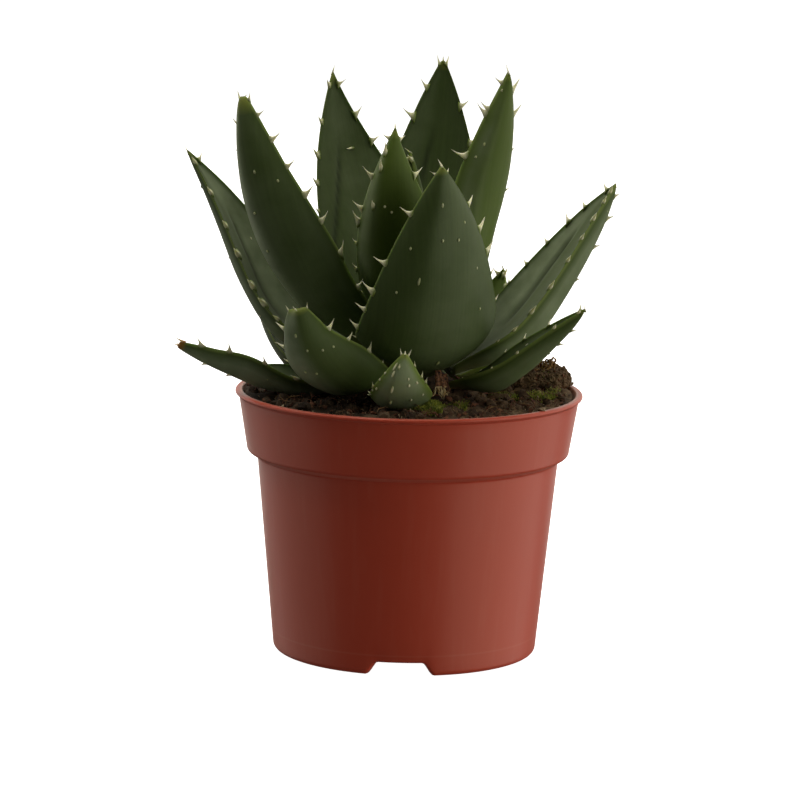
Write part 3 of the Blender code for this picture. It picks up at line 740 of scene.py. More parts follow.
class Blade:
    """The shape of one leaf: its midrib, and its section at every share of its length."""

    def __init__(self, name, index):
        (trim, reach, tip, width, thick, rise_deg, lift_deg, carry_share, sway, roll, cup,
         self.taper) = LEAVES[name]
        self.keel_place, self.keel_sharpness = KEELS.get(name, FAINT_KEEL)
        self.crease_row = CREASES.get(name)
        self.twist = math.radians(TWISTS.get(name, 0))
        self.blunt, self.aside = BLUNT_TIPS.get(name, 0.0), TIPS_ASIDE.get(name, 0.0)
        self.last, self.widest = BLADE_ENDS.get(name, 1.0), WIDEST_SHARES.get(name, WIDEST_SHARE)
        radius, height = seat(index)
        rise, lift = math.radians(rise_deg), math.radians(lift_deg)
        slope = SEAT_STEP_OUT / SEAT_STEP_DOWN
        clear = SHEATH_THICKNESS * max(0.0, slope * math.cos(rise) - math.sin(rise))
        azimuth = math.radians(FIRST_AZIMUTH_DEG - GOLDEN_ANGLE_DEG * index + trim)
        self.turn = Matrix.Rotation(azimuth, 3, "Z")
        self.sway, self.roll, self.cup = sway * MM, math.radians(roll), math.radians(cup)
        self.full, self.half_width = thick * MM, width * MM / 2
        start = Vector((radius + GAP + clear, 0, height))
        end = Vector((reach * MM, 0, tip * MM))
        carry = carry_share * (end - start).length
        leaving = carry * Vector((math.cos(rise), 0, math.sin(rise)))
        arriving = carry * Vector((math.cos(lift), 0, math.sin(lift)))
        self.controls = [start, start + leaving, end - arriving, end]
        self.base_half = min(BASE_SHARE * self.half_width, math.radians(SHEATH_MOST_WRAP_DEG) * start.x)
        self.base_wrap = self.base_half / start.x
        points = [self.rib(i / 40) for i in range(41)]
        self.length = sum((q - p).length for p, q in zip(points, points[1:]))

    def rib(self, share):
        """The midrib's place in the row frame, where +X leads away from the stem."""
        a, b, c, d = self.controls
        t, u = share, 1 - share
        place = a * u ** 3 + b * 3 * u * u * t + c * 3 * u * t * t + d * t ** 3
        place.y += self.sway * share * share
        return place

    def axes(self, share):
        """The unit vectors along the leaf, across it, and out of its inner face."""
        near, far = max(0.0, share - 0.01), min(1.0, share + 0.01)
        along = (self.rib(far) - self.rib(near)).normalized()
        across = (Vector((0, 1, 0)) - along * along.y).normalized()
        inward = along.cross(across)
        roll = self.roll * smooth_step(share / 0.5) + self.twist * smooth_step((share - 0.3) / 0.4)
        turn = Matrix.Rotation(roll, 3, along)
        return along, turn @ across, turn @ inward

    def pointed(self, share):
        """The half width without the end of a blunt leaf: it widens, then tapers to a point."""
        if share > POINT_FROM:
            shorter = (1 - POINT_FROM) / (self.last - POINT_FROM)
            share = min(1.0, POINT_FROM + (share - POINT_FROM) * shorter)
        if share < self.widest:
            start = self.base_half / self.half_width
            part = start + (1 - start) * math.sin(math.pi / 2 * share / self.widest)
        else:
            part = 1 - ((share - self.widest) / (1 - self.widest)) ** self.taper
        return self.half_width * max(part, 0.0)

    def width(self, share):
        """The half width at a share of the length."""
        past = max(0.0, (share - BLUNT_FROM) / (self.last - BLUNT_FROM))
        return self.pointed(share) + self.blunt * past * math.sqrt(max(0.0, 1 - past ** BLUNT_CORNERS))

    def thickness(self, share):
        """How thick the leaf is from face to face."""
        if share < self.widest:
            return SHEATH_THICKNESS + (self.full - SHEATH_THICKNESS) * smooth_step(share / self.widest)
        half = self.pointed(share) + 0.25 * (self.width(share) - self.pointed(share))
        return self.full * (half / self.half_width) ** 0.62

    def crease(self, share, across_share):
        """How much of the inner face's crease there is at a place, from 0 to 1."""
        start, slope, _, half = self.crease_row
        off = (across_share - start - slope * (share - 0.6)) / half
        along = smooth_step((share - 0.25) / 0.15) * smooth_step((0.80 - share) / 0.12)
        return math.exp(-off * off) * along

    def section(self, share):
        """What every point of the section at a share of the length is worked out from."""
        _, across, inward = self.axes(share)
        wrap = self.cup + (self.base_wrap - self.cup) * (1 - smooth_step(share / SHEATH_SHARE))
        thick = self.thickness(share)
        channel = CHANNEL_SHARE * thick * smooth_step(share / SHEATH_SHARE)
        ridge = self.keel_sharpness * smooth_step((share - 0.22) / 0.3) * smooth_step((1 - share) / 0.1)
        past = max(0.0, (share - ASIDE_FROM) / (1 - ASIDE_FROM))
        middle = self.rib(share) + across * self.aside * past ** 1.5
        return middle, across, inward, self.width(share) / wrap, wrap, thick, channel, ridge, share

    def skin(self, section, across_share, outer):
        """A point of the leaf's surface, in the scene's frame."""
        middle, across, inward, bow, wrap, thick, channel, ridge, share = section
        angle = across_share * wrap
        depth = channel * (1 - across_share * across_share)
        if outer:
            from_keel = across_share - self.keel_place
            from_keel /= 1 - self.keel_place if from_keel > 0 else 1 + self.keel_place
            rounded = (1 - abs(across_share) ** 2.2) ** 0.75
            keeled = (1 - min(1.0, abs(from_keel)) ** 1.25) ** 0.9
            depth += thick * (rounded + (keeled - rounded) * ridge)
        elif self.crease_row:
            depth += self.crease_row[2] * self.crease(share, across_share)
        sideways = (bow + depth) * math.sin(angle)
        inwards = bow * (1 - math.cos(angle)) - depth * math.cos(angle)
        return POT_AXIS + self.turn @ (middle + across * sideways + inward * inwards)

    def standing_place(self, share, across_share, outer):
        """A point of the skin with its unit vectors: out of the skin, and along the leaf."""
        section = self.section(share)
        place = self.skin(section, across_share, outer)
        step = 0.01 if abs(across_share) < 0.98 else -0.02 * across_share
        ahead = self.skin(self.section(min(share + 0.01, 1.0)), across_share, outer)
        behind = self.skin(self.section(share - 0.01), across_share, outer)
        beside = self.skin(section, across_share + step, outer)
        along = (ahead - behind).normalized()
        normal = along.cross(beside - place).normalized()
        if normal.dot(self.turn @ section[2]) * (-1 if outer else 1) < 0:
            normal.negate()
        return place, normal, along


# Aloe skin: a waxy cuticle over green flesh. It is smooth and half matt, lightly striped by its
# veins, pale along the edges and at the foot, yellower at the tip, with a grey bloom in patches. On
# one side of some leaves the bloom is laid on more heavily as a painted sheen and painted light, the
# crease of the inner face gets a dark line of painted shade, and the fresh green of the low front leaf
# is partly painted light in its shade.
skin_finish, tree, shader = finish_of("waxy_aloe_skin", {
    "IOR": 1.45, "Specular IOR Level": 0.18, "Subsurface Weight": 0.10,
    "Subsurface Radius": (0.5, 1.0, 0.3), "Subsurface Scale": 2.2 * MM,
})
VEIN_SPACING, VEIN_LENGTH, BLOOM_SIZE, PIT_SIZE = 0.9 * MM, 45 * MM, 14 * MM, 0.55 * MM
EDGE_LINE = 0.34 * MM
on_leaf = add(tree, "ShaderNodeUVMap", uv_map="LeafMap")
stretched = add(tree, "ShaderNodeMapping", {"Vector": on_leaf}, {
    "Scale": (1 / VEIN_SPACING, 1 / VEIN_LENGTH, 1.0),
})
vein = mottled(tree, stretched, 1.0, 3.0)
bloom_noise = mottled(tree, on_leaf, 1 / BLOOM_SIZE, 3.0)
pit = mottled(tree, on_leaf, 1 / PIT_SIZE, 1.0)
edge, share, outer_face, dried, fresh_and_painted_light, grey, creased = [
    add(tree, "ShaderNodeAttribute", attribute_name=label).outputs["Fac"]
    for label in ("edge_distance", "length_share", "outer_face", "dried", "fresh_and_painted_light", "bloom_and_painted_sheen", "creased")
]
inner_green = painted(tree, "#303d17", [(vein, "#3d4e1f")])
outer_green = painted(tree, "#334218", [(vein, "#425324")])
green = add(tree, "ShaderNodeMix", {
    "Factor_Float": outer_face, "A_Color": inner_green, "B_Color": outer_green,
}, data_type="RGBA")
patchy = graded(tree, bloom_noise, 0.30, 0.62, 0.45, 1.0)
inland = maths(tree, "MULTIPLY", patchy, graded(tree, edge, 0.4 * MM, 2.2 * MM))
# Partly painted sheen and painted light: the grey bloom is laid on more heavily on the side of a leaf that
# faces the light or catches grazing reflections.
bloom_and_sheen = maths(tree, "MULTIPLY", inland, grey)
# Painted shade: a dark line along the crease of the inner face.
painted_crease_shade = maths(tree, "MULTIPLY", creased, 0.7)
foot = graded(tree, share, 0.16, 0.02, 0.0, 0.6)
tipping = graded(tree, share, 0.955, 0.99, 0.0, 0.75)
pale_edge = graded(tree, edge, 0.3 * EDGE_LINE, 1.6 * EDGE_LINE, 0.55, 0.0)
# The fresh green is partly painted light: it lifts the low front leaf out of its shade.
colour = painted(tree, green, [
    (fresh_and_painted_light, "#61762b"), (bloom_and_sheen, "#8c9978"), (painted_crease_shade, "#1c2410"), (foot, "#8a9150"),
    (tipping, "#8a9440"), (pale_edge, "#80904a"), (dried, "#9a6a2c"),
])
dulled = graded(tree, bloom_noise, 0.0, 1.0, 0.46, 0.62)
ripple = maths(tree, "ADD", vein, maths(tree, "MULTIPLY", pit, 0.35))
skin = relief(tree, ripple, 0.16, 0.25 * MM)
feed(tree, shader, {"Base Color": colour, "Roughness": dulled, "Normal": skin})


def horn_finish(name, foot, point):
    """Thorn horn: hard, translucent and finely fluted, with one colour at its foot, one at its point."""
    made, node_tree, surface = finish_of(name, {
        "Roughness": 0.4, "IOR": 1.5, "Subsurface Weight": 0.4,
        "Subsurface Radius": (0.9, 0.95, 0.6), "Subsurface Scale": 0.8 * MM,
    })
    up_thorn = add(node_tree, "ShaderNodeAttribute", attribute_name="thorn_rise").outputs["Fac"]
    flutes = mottled(node_tree, object_place(node_tree), 1 / FLUTE_WIDTH)
    colour = painted(node_tree, foot, [(graded(node_tree, up_thorn, 0.06, 0.34), point)])
    feed(node_tree, surface, {"Base Color": colour, "Normal": relief(node_tree, flutes, 0.2, 0.1 * MM)})
    return made


# Living thorns are green at the foot and cream to the point. Those of a dried tip are amber.
FLUTE_WIDTH = 0.6 * MM
horn = horn_finish("thorn_horn", "#6d8030", "#f0eec6")
amber_horn = horn_finish("dried_thorn_horn", "#a8661c", "#dcc07c")
THORN_HEIGHT = 3.7 * MM
THORN_BASE, THORN_THICKNESS, THORN_HOOK, THORN_SUNK = 4.0 * MM, 1.6 * MM, 1.6 * MM, 0.8 * MM
THORN_SIDES, THORN_LEVELS = 10, 8
SPINE_LENGTH = 2.9 * MM
THORN_LEAN = 0.43
THORN_PROUD = 3.2 * MM


def thorn_form():
    """A hooked thorn with a broad flat foot: +Z out of the edge, +X towards the leaf's tip."""
    bm = bmesh.new()
    rise = bm.verts.layers.float.new("thorn_rise")
    rings = []
    for level in range(THORN_LEVELS):
        up = level / THORN_LEVELS
        girth = (1 - up) * (0.27 + 0.73 * (1 - up) ** 3)
        z = -THORN_SUNK + (THORN_HEIGHT + THORN_SUNK) * up
        ring = []
        for k in range(THORN_SIDES):
            a = 2 * math.pi * k / THORN_SIDES
            x = math.cos(a) * THORN_BASE / 2 * girth
            x += THORN_HOOK * up ** 1.7 - 0.15 * THORN_BASE * (1 - up)
            vert = bm.verts.new((x, math.sin(a) * THORN_THICKNESS / 2 * (1 - up) ** 0.8, z))
            vert[rise] = up
            ring.append(vert)
        rings.append(ring)
    point = bm.verts.new((THORN_HOOK, 0, THORN_HEIGHT))
    point[rise] = 1.0
    skinned(bm, rings, round_rows=False)
    for k in range(THORN_SIDES):
        bm.faces.new((rings[-1][k], rings[-1][(k + 1) % THORN_SIDES], point))
    bm.faces.new(rings[0][::-1])
    return finished("thorn", bm, horn)


def wart_form(paleness):
    """A low wart, longer along the leaf than across it, and how pale it is."""
    bm = bmesh.new()
    rise = bm.verts.layers.float.new("thorn_rise")
    bmesh.ops.create_icosphere(bm, subdivisions=2, radius=0.5)
    for vert in bm.verts:
        vert[rise] = 0.08 + paleness * max(0.0, vert.co.z)
        vert.co = Vector((vert.co.x * 1.1, vert.co.y * 0.85, vert.co.z * 0.5)) * MM
    return finished("wart", bm, horn)


# Grown: copies of a form stand on a row of points, each turned out of the skin and towards the tip.
grown, given, result = new_tree("grown", {"Form": "Object", "Points": "Object", "Finish": "Material"})
points = add(grown, "GeometryNodeObjectInfo", {"Object": given.outputs["Points"]})
form = add(grown, "GeometryNodeObjectInfo", {"Object": given.outputs["Form"]}).outputs["Geometry"]
outward, forward, scale = [
    add(grown, "GeometryNodeInputNamedAttribute", values={"Name": label}, data_type="FLOAT_VECTOR")
    for label in ("outward", "forward", "scale")
]
standing = add(grown, "FunctionNodeAlignRotationToVector", {"Vector": outward}, axis="Z")
heading = add(grown, "FunctionNodeAlignRotationToVector", {
    "Rotation": standing, "Vector": forward,
}, axis="X", pivot_axis="Z")
copies = add(grown, "GeometryNodeInstanceOnPoints", {
    "Points": points.outputs["Geometry"], "Rotation": heading, "Scale": scale, "Instance": form,
})
handed_over(grown, given, result, copies)


SWELL_SIZE, SWELL_HEIGHT = 17 * MM, 0.35 * MM
OUTER_MAP_SHIFT = 0.2


def blade_piece(name, blade, fresh_and_light_share, greys, dry_from):
    """The leaf's own skin, closed at foot and tip, with its map in real sizes."""
    bm = bmesh.new()
    uv = bm.loops.layers.uv.new("LeafMap")
    labels = ("edge_distance", "length_share", "dried", "fresh_and_painted_light", "bloom_and_painted_sheen", "creased")
    layers = {label: bm.verts.layers.float.new(label) for label in labels}
    outer_layer = bm.faces.layers.float.new("outer_face")
    places = [math.sin(math.pi / 2 * (2 * i / FACE_STEPS - 1)) for i in range(FACE_STEPS + 1)]
    loop_places = [(u, False) for u in places] + [(u, True) for u in places[-2:0:-1]]
    offset = Vector((blade.length * 7.3, blade.half_width * 31, blade.sway * 90))
    rings = []
    for i in range(RIB_STEPS + 1):
        share = (blade.last - 0.002) * (1 - (1 - i / RIB_STEPS) ** 1.15)
        section, half = blade.section(share), blade.width(share)
        outwards = blade.turn @ section[2]
        ring = []
        for u, outer in loop_places:
            place = blade.skin(section, u, outer)
            swell = noise.noise(place / SWELL_SIZE + offset) * SWELL_HEIGHT * (1 - u * u)
            swell *= smooth_step(share / 0.3) * (-1 if outer else 1)
            vert = bm.verts.new(place + outwards * swell)
            vert[layers["edge_distance"]] = half * (1 - abs(u)) + (0.0 if half > MM else 0.3 * MM)
            vert[layers["length_share"]] = share
            vert[layers["fresh_and_painted_light"]] = fresh_and_light_share
            # The grey bloom of each side is partly a painted sheen and painted light, heavier on the side
            # that faces the light.
            low_side, high_side = greys[2:] if outer else greys[:2]
            divide = blade.keel_place if outer else (blade.crease_row or (0.0,))[0]
            side = smooth_step((u - divide) / 0.5 + 0.5)
            vert[layers["bloom_and_painted_sheen"]] = low_side + (high_side - low_side) * side
            vert[layers["creased"]] = blade.crease(share, u) if blade.crease_row and not outer else 0.0
            vert[layers["dried"]] = smooth_step((share - dry_from) / 0.035) if dry_from else 0.0
            ring.append((vert, u * half, share * blade.length))
        rings.append(ring)
    count = len(loop_places)

    def face(corners, outer):
        made = bm.faces.new([c[0] for c in corners])
        made[outer_layer] = 1.0 if outer else 0.0
        for loop, (_, across, along) in zip(made.loops, corners):
            loop[uv].uv = (across + (OUTER_MAP_SHIFT if outer else 0.0), along)

    for here, there in zip(rings, rings[1:]):
        for i in range(count):
            j = (i + 1) % count
            face((here[i], here[j], there[j], there[i]), i >= FACE_STEPS)
    for ring, share in ((rings[-1], 1.0), (rings[0], 0.0)):
        vert = bm.verts.new(sum((c[0].co for c in ring), Vector()) / count)
        vert[layers["length_share"]] = share
        vert[layers["fresh_and_painted_light"]] = fresh_and_light_share
        vert[layers["dried"]] = 1.0 if dry_from and share else 0.0
        vert[layers["edge_distance"]] = MM
        centre = (vert, 0.0, share * blade.length)
        for i in range(count):
            face((ring[i], ring[(i + 1) % count], centre), i >= FACE_STEPS)
    return finished(name, bm, skin_finish)


def growing_points(name, rows):
    """Loose points that carry which way a form stands there and how large it is."""
    mesh = bpy.data.meshes.new(name)
    mesh.from_pydata([row[0] for row in rows], [], [])
    for label, column in (("outward", 1), ("forward", 2), ("scale", 3)):
        store = mesh.attributes.new(label, "FLOAT_VECTOR", "POINT")
        store.data.foreach_set("vector", [c for row in rows for c in row[column]])
    holder = bpy.data.objects.new(name, mesh)
    bpy.context.scene.collection.objects.link(holder)
    return holder


def inside_box(place, way, hooked, length):
    """The length that keeps a thorn within THORN_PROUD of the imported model's box."""
    low, high = cad_box
    for _ in range(40):
        end = place + way * length + hooked * length * THORN_LEAN
        if all(low[i] - THORN_PROUD < end[i] < high[i] + THORN_PROUD for i in range(3)):
            break
        length *= 0.93
    return length


# For each leaf: how far apart its thorns stand, their size, how many warts each face has (inner,
# outer), how fresh its green is (on the low front leaf partly painted light in its shade), how grey
# its bloom is (on both sides of the crease of the inner face, then on both sides of the keel of the
# outer one; where one side is greyer, that is partly a painted sheen and painted light), and where its
# tip has dried.
GROWTH = {
    "leaf_01_heart": (0.9, 0.8, 2, 2, 0.5, (0.1, 0.1, 0.1, 0.1), 0),
    "leaf_02_inner": (1.1, 1.2, 2, 0, 0.55, (0.1, 0.1, 0.7, 0.0), 0),
    "leaf_03_back_left": (1.05, 1.0, 0, 4, 0.1, (0.25, 0.1, 0.1, 0.1), 0),
    "leaf_04_right": (1.25, 1.2, 2, 0, 0.5, (0.1, 0.1, 0.5, 0.0), 0),
    "leaf_05_front_left": (1.05, 1.3, 5, 0, 0.05, (0.1, 0.1, 1.0, 0.15), 0),
    "leaf_06_back": (1.05, 1.15, 2, 6, 0.0, (0.05, 0.15, 0.1, 0.1), 0),
    "leaf_07_front": (1.0, 1.15, 5, 0, 0.0, (0.1, 0.1, 0.05, 0.2), 0),
    "leaf_08_left": (1.0, 1.15, 2, 5, 0.0, (0.65, 0.25, 0.4, 0.5), 0),
    "leaf_09_right_back": (0.95, 0.95, 2, 3, 0.15, (0.2, 1.0, 0.5, 0.5), 0),
    "leaf_10_low_front_left": (1.45, 0.95, 5, 0, 0.15, (0.2, 0.2, 1.0, 0.1), 0),
    "leaf_11_back_far": (1.0, 0.9, 4, 8, 0.1, (0.2, 0.2, 0.1, 0.1), 0),
    "leaf_12_low_right": (1.7, 0.7, 2, 1, 0.1, (0.2, 0.2, 0.3, 0.3), 0),
    "leaf_13_low_left": (1.6, 1.1, 2, 2, 0.0, (0.4, 0.4, 0.9, 0.9), 0.950),
    "leaf_14_low_back_right": (1.4, 0.8, 4, 8, 0.9, (0.1, 0.1, 0.1, 0.1), 0),
    "leaf_15_low_front": (1.3, 0.65, 5, 2, 1.0, (0.4, 0.4, 0.9, 0.8), 0),
    "leaf_16_low_back_left": (1.3, 0.5, 4, 10, 0.0, (0.2, 0.2, 0.2, 0.2), 0),
}
# The thorns that show in the photo, as shares of the length: on the edge that is clockwise seen
# from above, then on the other. Below the last one they go on at the leaf's own spacing.
FIRST_THORN = 0.88
SEEN_THORNS = {
    "leaf_02_inner": ((0.82, 0.68, 0.62), (0.82, 0.70)),
    "leaf_03_back_left": ((0.86, 0.76), (0.85, 0.74, 0.64)),
    "leaf_04_right": ((0.86, 0.845, 0.70), (0.85, 0.72, 0.59)),
    "leaf_05_front_left": ((0.91, 0.80), (0.95, 0.88, 0.79, 0.68, 0.56, 0.41, 0.27)),
    "leaf_06_back": ((0.84, 0.72), (0.90, 0.80)),
    "leaf_07_front": ((0.80, 0.61, 0.50, 0.42, 0.33), (0.80, 0.69, 0.59)),
    "leaf_08_left": ((0.58,), (0.85, 0.73, 0.62, 0.49, 0.41, 0.33)),
    "leaf_09_right_back": ((0.90, 0.82, 0.73, 0.63, 0.51, 0.39, 0.29, 0.21), (0.85, 0.77, 0.66, 0.55)),
    "leaf_10_low_front_left": ((0.86, 0.72), (0.78, 0.60, 0.39)),
    "leaf_12_low_right": ((0.80, 0.55), (0.70, 0.50)),
    "leaf_13_low_left": ((0.88, 0.67), (0.89, 0.74, 0.54, 0.35)),
    "leaf_15_low_front": ((0.60, 0.45, 0.31), (0.90, 0.77, 0.68)),
}
# Thorns that lean towards the plant's front: (leaf, edge) and how far. Then the size of the two
# thorns beside a tip, where they are small.
FORWARDS = Vector((0, -1, 0.2))
LEANING = {
    ("leaf_03_back_left", 1): 1.0, ("leaf_02_inner", -1): 0.7, ("leaf_08_left", 1): 1.5,
    ("leaf_09_right_back", -1): 1.6, ("leaf_12_low_right", -1): 0.8,
}
CROWN_SIZES = {
    "leaf_06_back": 1.0, "leaf_07_front": 0.55, "leaf_10_low_front_left": 0.6, "leaf_12_low_right": 0.8,
    "leaf_13_low_left": 1.0, "leaf_15_low_front": 0.7,
}
# How far before the blade's end the thorns beside the tip stand, and from where the spine starts.
CROWN_BACK, BLUNT_CROWN_BACK, SPINE_BACK = 0.038, 0.010, 0.008
CROWN_SIZE, LOWER_SIZE, BLUNT_SPINE_SIZE = 0.9, 0.6, 0.65
# One thorn is much larger than the rest: (edge, share of the length, size).
GREAT_HOOK = {"leaf_04_right": (-1, 0.70, 1.4)}
# The warts and keel prickles that show in the photo, on the outer faces: (share of the length,
# place across, length of the wart against its width). Leaf 3 has one prickle on its inner face.
SEEN_WARTS = {
    "leaf_02_inner": [(0.71, -0.30, 1), (0.685, -0.12, 1)],
    "leaf_04_right": [(0.925, -0.80, 1), (0.75, -0.75, 1.2), (0.705, -0.82, 1)],
    "leaf_05_front_left": [(0.80, 0.23, 1.3), (0.755, 0.70, 1), (0.67, -0.12, 1), (0.53, -0.20, 1)],
    "leaf_07_front": [
        (0.71, -0.15, 1), (0.70, 0.20, 1), (0.68, -0.70, 1), (0.52, -0.70, 1), (0.57, -0.45, 2.6),
        (0.57, 0.55, 1), (0.41, 0.53, 1), (0.84, -0.20, 1.6), (0.755, 0.45, 1), (0.215, 0.03, 2.4),
    ],
    "leaf_10_low_front_left": [
        (0.86, -0.17, 1.4), (0.68, 0.70, 1), (0.715, 0.45, 1), (0.76, 0.07, 1), (0.615, -0.30, 1.2),
        (0.59, -0.05, 1),
    ],
    "leaf_15_low_front": [
        (0.71, -0.40, 3.0), (0.545, -0.35, 2.6), (0.74, 0.33, 1.3), (0.74, 0.70, 1.3), (0.53, 0.33, 1.4),
        (0.52, 0.73, 1.4), (0.895, -0.70, 3.0), (0.84, -0.60, 2.6), (0.615, -0.90, 1.5),
        (0.80, -0.97, 1.2), (0.72, -0.97, 1.0), (0.55, -0.97, 1.2), (0.45, -0.97, 1.0),
    ],
}
# The prickles that stand on the outer face: (share of the length, place across, size).
PRICKLES = {
    "leaf_02_inner": [(0.915, -0.62, 0.9), (0.86, -0.62, 0.9), (0.72, -0.62, 0.9)],
    "leaf_04_right": [(0.925, 0.9, 1.3), (0.845, 0.9, 1.2), (0.73, 0.8, 0.5), (0.60, 0.75, 0.55)],
    "leaf_05_front_left": [(0.93, -0.92, 0.8), (0.85, -0.92, 0.6), (0.76, -0.92, 0.5)],
    "leaf_08_left": [(0.62, 0.35, 0.4), (0.36, 0.35, 0.4)],
    "leaf_09_right_back": [(0.95, -0.3, 0.7), (0.86, -0.35, 0.9), (0.74, -0.35, 0.8), (0.60, -0.35, 0.5)],
    "leaf_12_low_right": [(0.84, 0.1, 0.55), (0.72, 0.1, 0.55)],
    "leaf_13_low_left": [(0.84, 0.0, 0.6), (0.70, 0.0, 0.6)],
    "leaf_15_low_front": [(0.91, -0.4, 0.5)],
}
FACE_PRICKLE = {"leaf_03_back_left": (0.745, -0.22)}
PALE_WARTED = ("leaf_02_inner", "leaf_08_left", "leaf_12_low_right", "leaf_15_low_front")
# The low front leaf has slender thorns that stand up, and none below those seen.
SLENDER_TOOTHED = "leaf_15_low_front"


def thorn_shares(first, closeness):
    """Where the thorns stand along one edge: close near the tip and foot, wider apart between."""
    shares, share = [], first
    while share > 0.12:
        shares.append(share)
        share -= (0.065 + 0.06 * (1 - (2 * share - 1) ** 2)) * closeness
    return shares


def edge_thorns(name, blade, edge, seen):
    """The thorns of one edge: the one beside the tip, those seen, then smaller ones to the foot."""
    closeness, thorn_size = GROWTH[name][:2]
    slender = name == SLENDER_TOOTHED
    great_edge, great_share, great_size = GREAT_HOOK.get(name, (0, 0.0, 1.0))
    further = [] if slender else thorn_shares(seen[-1] - 0.1 * closeness, closeness)
    crown_share = blade.last - (BLUNT_CROWN_BACK if blade.blunt else CROWN_BACK)
    rows = []
    for share in (crown_share,) + seen + tuple(further):
        crown = share == crown_share
        place = blade.skin(blade.section(share), edge, False)
        out = (place - blade.skin(blade.section(share), edge * 0.85, False)).normalized()
        ahead = blade.skin(blade.section(min(share + 0.012, 0.999)), edge, False)
        along = (ahead - place).normalized()
        near_tip = 0.52 + 0.48 * smooth_step((1 - share) / 0.14)
        near_foot = 0.40 + 0.60 * smooth_step((share - 0.1) / 0.3)
        grow = draw.uniform(0.80, 1.15) * near_tip * near_foot * thorn_size
        way = (out + along * ((1.1 if slender else 0.0) + draw.uniform(-0.05, 0.35))).normalized()
        if crown and blade.blunt:
            along = blade.turn @ blade.axes(share)[0]
        if crown:
            grow = CROWN_SIZE * CROWN_SIZES.get(name, 1.0)
            way = (out + along * (1.4 if blade.blunt else 0.1)).normalized()
        way = (way + FORWARDS * LEANING.get((name, edge), 0.0)).normalized()
        if share in further:
            grow *= LOWER_SIZE
        if edge == great_edge and share == great_share:
            grow, way = great_size, (out - along * 0.25).normalized()
        size = inside_box(place, way, along, THORN_HEIGHT * grow) / THORN_HEIGHT
        broad = 0.6 if blade.blunt and (crown or slender) else 1.0
        rows.append((place, way, along, (size * broad, size * min(1.0, broad * 1.3), size)))
    return rows


def tip_spine(blade):
    """The last thorn, which runs on from the very tip."""
    section = blade.section(blade.last - SPINE_BACK)
    place = (blade.skin(section, 0, False) + blade.skin(section, 0, True)) / 2
    inward = blade.turn @ section[2]
    way = (POT_AXIS + blade.turn @ blade.rib(1.0) - place).normalized()
    way = (way + inward * draw.uniform(0.0, 0.45)).normalized()
    length = SPINE_LENGTH * (BLUNT_SPINE_SIZE if blade.blunt else 1.0) + SPINE_BACK * blade.length
    length = inside_box(place, way, inward * 0.3, length)
    return place, way, inward, (0.26, 0.6, length / THORN_HEIGHT)


def face_prickles(name, blade):
    """The prickles that stand on the faces."""
    rows = []
    for share, u, size in PRICKLES.get(name, ()):
        place, normal, along = blade.standing_place(share, u, True)
        size = inside_box(place, normal, along, THORN_HEIGHT * size) / THORN_HEIGHT
        rows.append((place, (normal + along * 0.3).normalized(), along, (size, size, size)))
    if name in FACE_PRICKLE:
        place, normal, along = blade.standing_place(*FACE_PRICKLE[name], False)
        across = normal.cross(along)
        rows.append((place, (normal + across * 0.6).normalized(), across, (0.6, 0.6, 0.6)))
    return rows


def face_warts(name, blade, counts):
    """The warts that show in the photo, then as many more as the counts say for each face."""
    rows = []
    for share, u, longer in SEEN_WARTS.get(name, ()):
        rows.append((*blade.standing_place(share, u, True), (longer * 1.05, 1.05, 1.1)))
    for outer, count in zip((False, True), counts):
        for _ in range(count):
            share, u = 0.22 + 0.70 * draw.random() ** 0.8, draw.uniform(-0.85, 0.85)
            grow = draw.uniform(0.6, 1.05)
            size = (grow * draw.uniform(0.9, 1.7), grow, grow)
            rows.append((*blade.standing_place(share, u, outer), size))
    return rows


thorn, dim_wart, pale_wart = thorn_form(), wart_form(0.20), wart_form(0.50)
draw = random.Random(17)
for index, name in enumerate(LEAVES):
    blade = Blade(name, index)
    inner_warts, outer_warts, fresh_and_light_share, greys, dry_from = GROWTH[name][2:]
    seen = SEEN_THORNS.get(name, ((FIRST_THORN,), (FIRST_THORN,)))
    edges = [edge_thorns(name, blade, edge, shares) for edge, shares in zip((-1, 1), seen)]
    at_tip = 1 if dry_from else 0
    spine = tip_spine(blade)
    dried_thorns = [row for rows in edges for row in rows[:at_tip]] + [spine] * at_tip
    thorns = [row for rows in edges for row in rows[at_tip:]] + [spine] * (1 - at_tip)
    thorns += face_prickles(name, blade)
    warts = face_warts(name, blade, (inner_warts, outer_warts))
    wart = pale_wart if name in PALE_WARTED else dim_wart
    leaf = blade_piece(name + "_grown", blade, fresh_and_light_share, greys, dry_from)
    holders = []
    for rows, form, finish in (
        (thorns, thorn, horn), (dried_thorns, thorn, amber_horn), (warts, wart, horn),
    ):
        if rows:
            holders.append(growing_points(f"{name}_points_{len(holders)}", rows))
            dress(leaf, grown, Form=form, Points=holders[-1], Finish=finish)
    settled(leaf)
    cleared(holders)
    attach(leaf, "root")
    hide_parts(name)
cleared((thorn, dim_wart, pale_wart))

# The dried remains of the lowest leaves: papery red-brown strips that still cling to the stem and
# fray into straw at their lower ends. One of them stands up beside the low front leaf.
husk = plain_finish("dried_leaf_husk", "#301b12", "#8c6240", 0.8 * MM, 0.75)
frayed = plain_finish("frayed_straw", "#b89a62", "#ecdcae", 1.5 * MM, 0.8)
# For each strip, in degrees and mm: its bearing round the stem and its width, then the distance
# from the axis and the height of its foot, and the same of its head.
HUSKS = [(-64, 3.9, 24.8, 95.4, 22.0, 101.4), (-56, 3.0, 22.6, 93.4, 21.2, 99.8)]
for bearing in (-12, 20, 55, 95, 138, 176, 214, 250, 282):
    HUSKS.append((bearing, 6.5, 22.8, 91.0, 16.5, 95.4))
HUSK_THICKNESS = 0.3 * MM
HUSK_ROWS, HUSK_COLUMNS = 14, 10
FRINGE_COUNT = 12
FRINGE_FOOT_MM = 90.8
FRINGE_RADII = [0.20 * MM] * 4 + [0.18 * MM, 0.14 * MM, 0.06 * MM]


